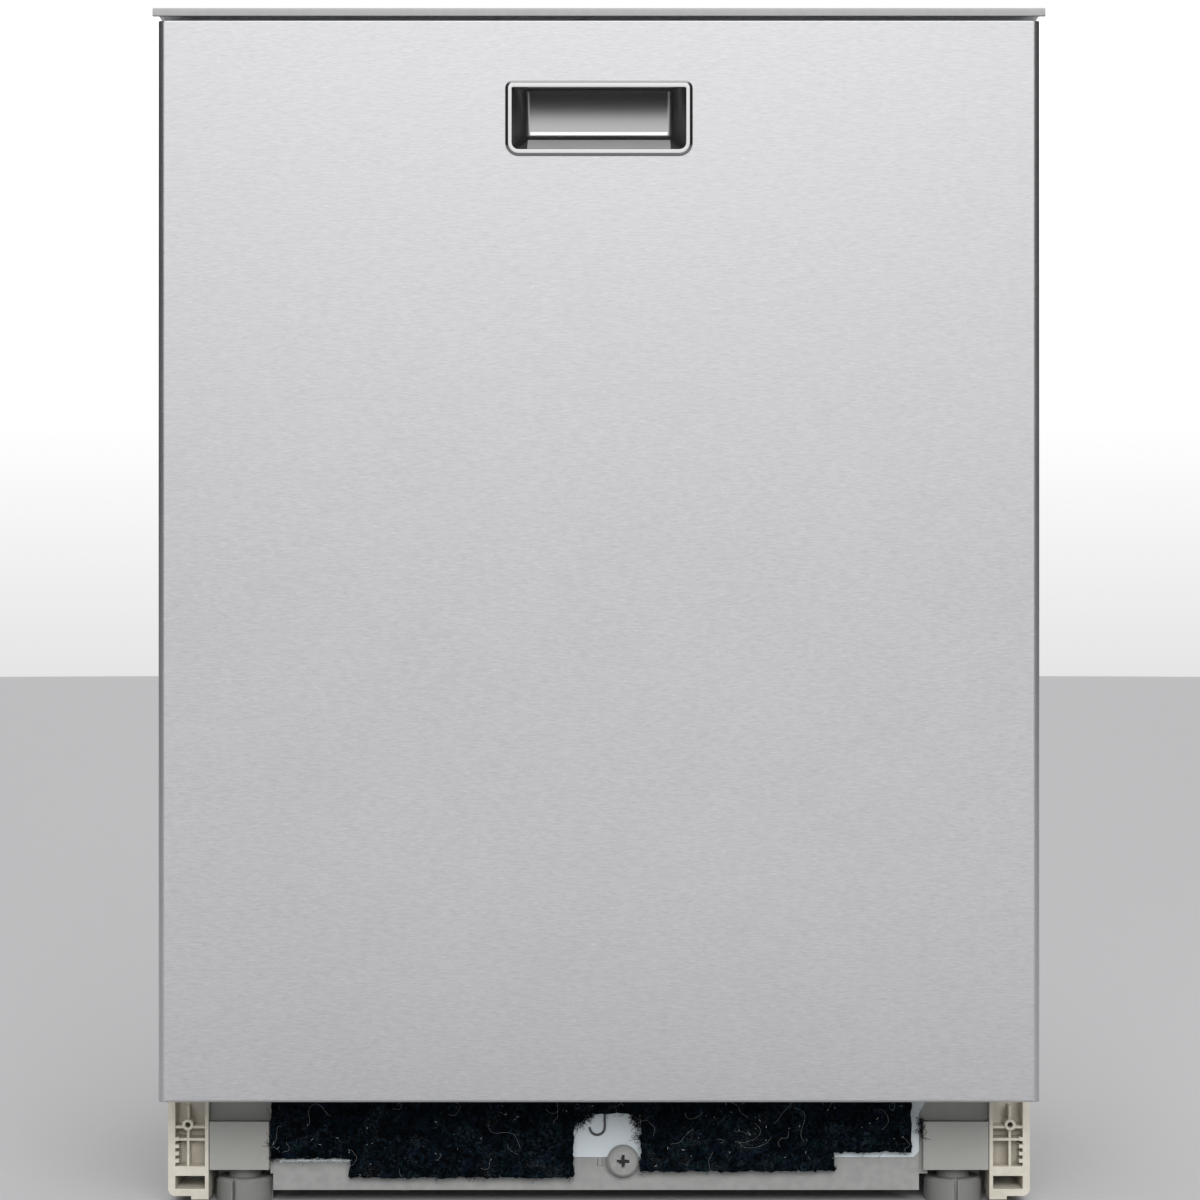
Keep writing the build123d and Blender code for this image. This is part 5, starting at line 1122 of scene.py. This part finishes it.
class DISHWASHER_OT_felt(bpy.types.Operator):
    """Ragged kick felt with its loose hairs and pale threads"""

    bl_idname = "dishwasher.felt"
    bl_label = "Kick felt"

    def execute(self, context):
        size = sizes()
        low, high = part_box("kick_felt")
        self.mat(low, high)
        dice = random.Random(11)
        front = low.y + 0.3 * MM
        dark = self.hairs(dice, low, high, front)
        pale, lint = self.threads(dice, low, high, front - 0.2 * MM)
        for _ in range(EDGE_LINT):
            x = dice.uniform(FELT_STEPS[0] + 6.0, FELT_STEPS[1] - 1.0) * MM
            start = (x, front + dice.uniform(-1.0, 0.4) * MM, (FELT_LOWER[0] + dice.gauss(-0.2, 0.35)) * MM)
            heading, reach = dice.uniform(-0.3, 0.3), dice.uniform(*EDGE_LINT_REACH) * MM
            lint.append(wander(dice, start, heading, reach, 3, 0.4, 0.2 * MM))
        settle(strands("kick_felt_hairs", dark, size.hair), "cabinet", "felt", smooth=80.0)
        settle(strands("kick_felt_threads", pale, 0.5 * size.hair), "cabinet", "grey_paint", smooth=80.0)
        settle(strands("kick_felt_lint", lint, 0.8 * size.hair), "cabinet", "white_paint", smooth=80.0)
        return {"FINISHED"}

    def mat(self, low, high):
        """The stepped sheet with a ragged edge and a lumpy face."""
        span, cell = high - low, sizes().felt_cell
        felt = primitive(
            "grid", "kick_felt_mat", x_subdivisions=round(span.x / cell), y_subdivisions=round(span.z / cell),
            size=1.0, location=((low.x + high.x) / 2, low.y + 0.8 * MM, (low.z + high.z) / 2),
            rotation=(math.radians(90), 0, 0),
        )
        felt.scale = (span.x, span.z, 1.0)
        fix_place()
        edit(felt)

        def outside(face):
            place = face.calc_center_median()
            edge = felt_edge(place.x)
            return edge is None or place.z < edge

        mark("faces", outside)
        bpy.ops.mesh.delete(type="FACE")
        mark("verts", lambda vert: vert.is_boundary)
        bpy.ops.transform.vertex_random(offset=EDGE_RAGGED, uniform=0.0, normal=0.0, seed=5)
        leave_edit()
        apply(felt, "SOLIDIFY", "Thickness", thickness=span.y - 1.2 * MM, offset=-1.0)
        for scale, strength in FELT_LUMPS:
            texture = bpy.data.textures.new("felt_lumps", "CLOUDS")
            texture.noise_scale = scale * MM
            apply(felt, "DISPLACE", "Lumps", texture=texture, strength=strength * MM, mid_level=0.6)
        settle(felt, "cabinet", "felt", ["kick_felt"], 80.0)

    def hairs(self, dice, low, high, front):
        """Dark hairs over the face and hanging from the lower edge, and the clumps."""
        dark = []
        while len(dark) < sizes().hairs:
            x, edge = felt_spot(dice, low, high)
            if dice.random() < EDGE_SHARE:
                for _ in range(dice.randint(1, 4)):
                    across, deep = x + dice.gauss(0, 1.0) * MM, front + dice.uniform(0.0, 4.0) * MM
                    start = (across, deep, edge + dice.uniform(0.0, 2.0) * MM)
                    reach = dice.uniform(*EDGE_REACH) * MM
                    dark.append(wander(dice, start, dice.uniform(-2.4, -0.7), reach, 5, 0.5, 0.3 * MM))
            else:
                start = (x, front, dice.uniform(edge + 3.0 * MM, high.z))
                reach = dice.uniform(*HAIR_REACH) * MM
                dark.append(wander(dice, start, dice.uniform(0.0, ANY_WAY), reach, 6, 0.9, 1.2 * MM))
        for x, z, wide, tall, count in FELT_TUFTS:
            dark += tuft(dice, x * MM, front + 2.0 * MM, z * MM, wide * MM, tall * MM, count)
        return dark

    def threads(self, dice, low, high, front):
        """Pale threads and twice as many bits of lint, both lying on the face."""
        pale, lint = [], []
        while len(pale) < sizes().threads:
            x, edge = felt_spot(dice, low, high)
            start = (x, front, dice.uniform(edge + 4.0 * MM, high.z - 6.0 * MM))
            reach = dice.uniform(*THREAD_REACH) * MM
            heading, turn = dice.uniform(0.0, ANY_WAY), dice.uniform(0.3, 1.1)
            pale.append(wander(dice, start, heading, reach, 16, turn, 0.6 * MM))
        while len(lint) < 2 * sizes().threads:
            x, edge = felt_spot(dice, low, high)
            start = (x, front, dice.uniform(edge, high.z))
            heading, reach = dice.uniform(0.0, ANY_WAY), dice.uniform(*LINT_REACH) * MM
            lint.append(wander(dice, start, heading, reach, 3, 0.9, 0.2 * MM))
        return pale, lint


class DISHWASHER_OT_chamber(bpy.types.Operator):
    """Tub, its floor, rails, filters, spray arms and the wash ways"""

    bl_idname = "dishwasher.chamber"
    bl_label = "Chamber"

    def execute(self, context):
        rounded_copies(
            sizes().steel_edge, "tub", "tub_floor", "latch_strike", "hinge_brackets", "rail_guides",
            "rack_rails",
        )
        rounded_copies(
            sizes().moulding_edge, "filter_plate", "filter_cup", "overfill_float", "lower_spray_arm",
            "upper_spray_arm", "spray_manifold", "feed_tube",
        )
        return {"FINISHED"}


BLANKET_CELL = 9.0 * MM
# faces turned to the tub don't swell: they lie this deep in the side sheets, and this near its roof and back
INNER_DEPTH = 10.0 * MM
INNER_NEAR = 4.0 * MM
BLANKET_LUMP = 60.0 * MM
SWELL_FRAMES = 20
SWELL_LIMIT = 5.0 * MM
SWELL_PRESSURE = 4.0


class DISHWASHER_OT_blanket(bpy.types.Operator):
    """Padded felt sheets round the tub, swollen by a cloth simulation"""

    bl_idname = "dishwasher.blanket"
    bl_label = "Sound blanket"

    def execute(self, context):
        pads = traced("sound_blanket", "sound_blanket_pads")
        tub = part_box("tub")[1]
        pads.data.remesh_voxel_size = BLANKET_CELL
        bpy.ops.object.voxel_remesh()
        rest = [vert.co.copy() for vert in pads.data.vertices]
        self.swell(context, pads)
        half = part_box("sound_blanket")[1].x
        for vert, place in zip(pads.data.vertices, rest):
            shift = vert.co - place
            if shift.length > SWELL_LIMIT:
                shift *= SWELL_LIMIT / shift.length
            near = place.z < tub.z + INNER_NEAR and place.y < tub.y + INNER_NEAR
            inside = near and abs(place.x) < half - INNER_DEPTH
            vert.co = place if inside else place + shift
        texture = bpy.data.textures.new("blanket_lumps", "CLOUDS")
        texture.noise_scale = BLANKET_LUMP
        apply(pads, "DISPLACE", "Lumps", texture=texture, strength=2.5 * MM, mid_level=0.75)
        settle(pads, "cabinet", "felt", ["sound_blanket"], 70.0)
        pads.data.materials[0] = finish_for("fleece")
        return {"FINISHED"}

    def swell(self, context, pads):
        """Lets the sheets puff up a little, with no weight."""
        cloth = pads.modifiers.new("Swell", "CLOTH")
        cloth.settings.quality = 3
        cloth.settings.use_pressure = True
        cloth.settings.uniform_pressure_force = SWELL_PRESSURE
        cloth.settings.effector_weights.gravity = 0.0
        for step in range(1, SWELL_FRAMES + 1):
            context.scene.frame_set(step)
        choose(pads)
        bpy.ops.object.modifier_apply(modifier=cloth.name)
        context.scene.frame_set(1)


SPRING_WIRE = 1.7 * MM
SPRING_RADIUS = 5.9 * MM
SPRING_LENGTH = 150.0 * MM
SPRING_PITCH = 1.25  # of the wire
TURN_STEPS = 10
CORD_LENGTH = 100.0 * MM
CORD_THICKNESS = 3.0 * MM


class DISHWASHER_OT_springs(bpy.types.Operator):
    """Wound counterbalance springs with their cords"""

    bl_idname = "dishwasher.springs"
    bl_label = "Door springs"

    def execute(self, context):
        low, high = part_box("door_springs")
        z, start = (low.z + high.z) / 2, low.y + CORD_LENGTH
        steps = round(SPRING_LENGTH / (SPRING_PITCH * SPRING_WIRE)) * TURN_STEPS
        coils, cords = [], []
        for side in (-1, 1):
            x = side * (high.x - (high.z - low.z) / 2)
            loop = [(x, start - 6.0 * MM, z)]
            for step in range(steps + 1):
                turn = step * math.tau / TURN_STEPS
                across, up = SPRING_RADIUS * math.cos(turn), SPRING_RADIUS * math.sin(turn)
                loop.append((x + across, start + SPRING_LENGTH * step / steps, z + up))
            loop += [(x, start + SPRING_LENGTH + 2.0 * MM, z), (x, high.y, z)]
            coils.append(loop)
            cords.append([(x, low.y, z), (x, start - 5.0 * MM, z)])
        coil = strands("door_spring_coils", coils, SPRING_WIRE)
        settle(coil, "cabinet", "zinc_steel", ["door_springs"], 80.0)
        cord = strands("door_spring_cords", cords, CORD_THICKNESS)
        soften(cord, 0.6 * MM)
        settle(cord, "cabinet", "rubber_black", smooth=60.0)
        return {"FINISHED"}


WINDOW_SIZE = (8.4 * MM, 11.0 * MM)
WINDOW_PITCH = (12.4 * MM, 15.6 * MM)
WINDOW_INSET = (8.2 * MM, 16.0 * MM)  # middle of the first window from the basket's lower corner
WINDOW_ROWS = (5, 6)


class DISHWASHER_OT_racks(bpy.types.Operator):
    """Both racks with their wheels, hangers and basket"""

    bl_idname = "dishwasher.racks"
    bl_label = "Racks"

    def execute(self, context):
        for node in ("lower_rack_wires", "upper_rack_wires"):
            self.wires(node)
        rounded_copies(WHEEL_EDGE, "wheel_brackets", "front_wheels", "rear_wheels", "upper_rack_hangers")
        self.basket()
        return {"FINISHED"}

    def wires(self, node):
        """Round coated wires with rounded tips, along the solids' straight wires."""
        bundles = []
        for radius, lines in wire_lines(node).items():
            bundle = strands(node + "_shell", lines, 2 * radius, 3)
            soften(bundle, 0.45 * radius, 3, 60.0)
            bundles.append(bundle)
        choose(bundles[0])
        for bundle in bundles[1:]:
            bundle.select_set(True)
        bpy.ops.object.join()
        bundles[0].name = node + "_shell"
        settle_for(bundles[0], node, 60.0)

    def basket(self):
        """Cutlery basket with rows of windows through its end walls and partitions."""
        basket = traced("cutlery_basket", "cutlery_basket_shell")
        low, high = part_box("cutlery_basket")
        punch = box(
            (low.x + WINDOW_INSET[0], (low.y + high.y) / 2, low.z + WINDOW_INSET[1]),
            (WINDOW_SIZE[0], high.y - low.y + 10 * MM, WINDOW_SIZE[1]),
        )
        for count, step in zip(WINDOW_ROWS, ((WINDOW_PITCH[0], 0, 0), (0, 0, WINDOW_PITCH[1]))):
            apply(
                punch, "ARRAY", "Rows", count=count, use_relative_offset=False,
                use_constant_offset=True, constant_offset_displace=step,
            )
        cut(basket, punch, "Windows")
        soften(basket, WHEEL_EDGE)
        settle_for(basket, "cutlery_basket")


OPERATORS = (
    DISHWASHER_OT_stage,
    DISHWASHER_OT_door,
    DISHWASHER_OT_handle,
    DISHWASHER_OT_base,
    DISHWASHER_OT_felt,
    DISHWASHER_OT_chamber,
    DISHWASHER_OT_blanket,
    DISHWASHER_OT_springs,
    DISHWASHER_OT_racks,
)


class DISHWASHER_PT_panel(bpy.types.Panel):
    """Sizes, colours and the steps that build the dishwasher's looks"""

    bl_idname = "DISHWASHER_PT_panel"
    bl_label = "Dishwasher"
    bl_space_type = "VIEW_3D"
    bl_region_type = "UI"
    bl_category = "Dishwasher"

    def draw(self, context):
        for operator in OPERATORS:
            self.layout.operator(operator.bl_idname)
        for group in ("dishwasher_sizes", "dishwasher_colours", "dishwasher_stage"):
            settings = getattr(context.scene, group)
            box = self.layout.box()
            for name in settings.__annotations__:
                box.prop(settings, name)


GROUP_TYPES = {
    "dishwasher_sizes": DishwasherSizes,
    "dishwasher_colours": DishwasherColours,
    "dishwasher_stage": DishwasherStage,
}


def register():
    for kind in (*GROUP_TYPES.values(), *OPERATORS, DISHWASHER_PT_panel):
        bpy.utils.register_class(kind)
    for name, kind in GROUP_TYPES.items():
        setattr(bpy.types.Scene, name, bpy.props.PointerProperty(type=kind))


def unregister():
    for name in GROUP_TYPES:
        delattr(bpy.types.Scene, name)
    for kind in reversed((*GROUP_TYPES.values(), *OPERATORS, DISHWASHER_PT_panel)):
        bpy.utils.unregister_class(kind)


def main():
    register()
    for operator in OPERATORS:
        group, step = operator.bl_idname.split(".")
        getattr(getattr(bpy.ops, group), step)()
    clear_choice()


if __name__ == "__main__":
    main()
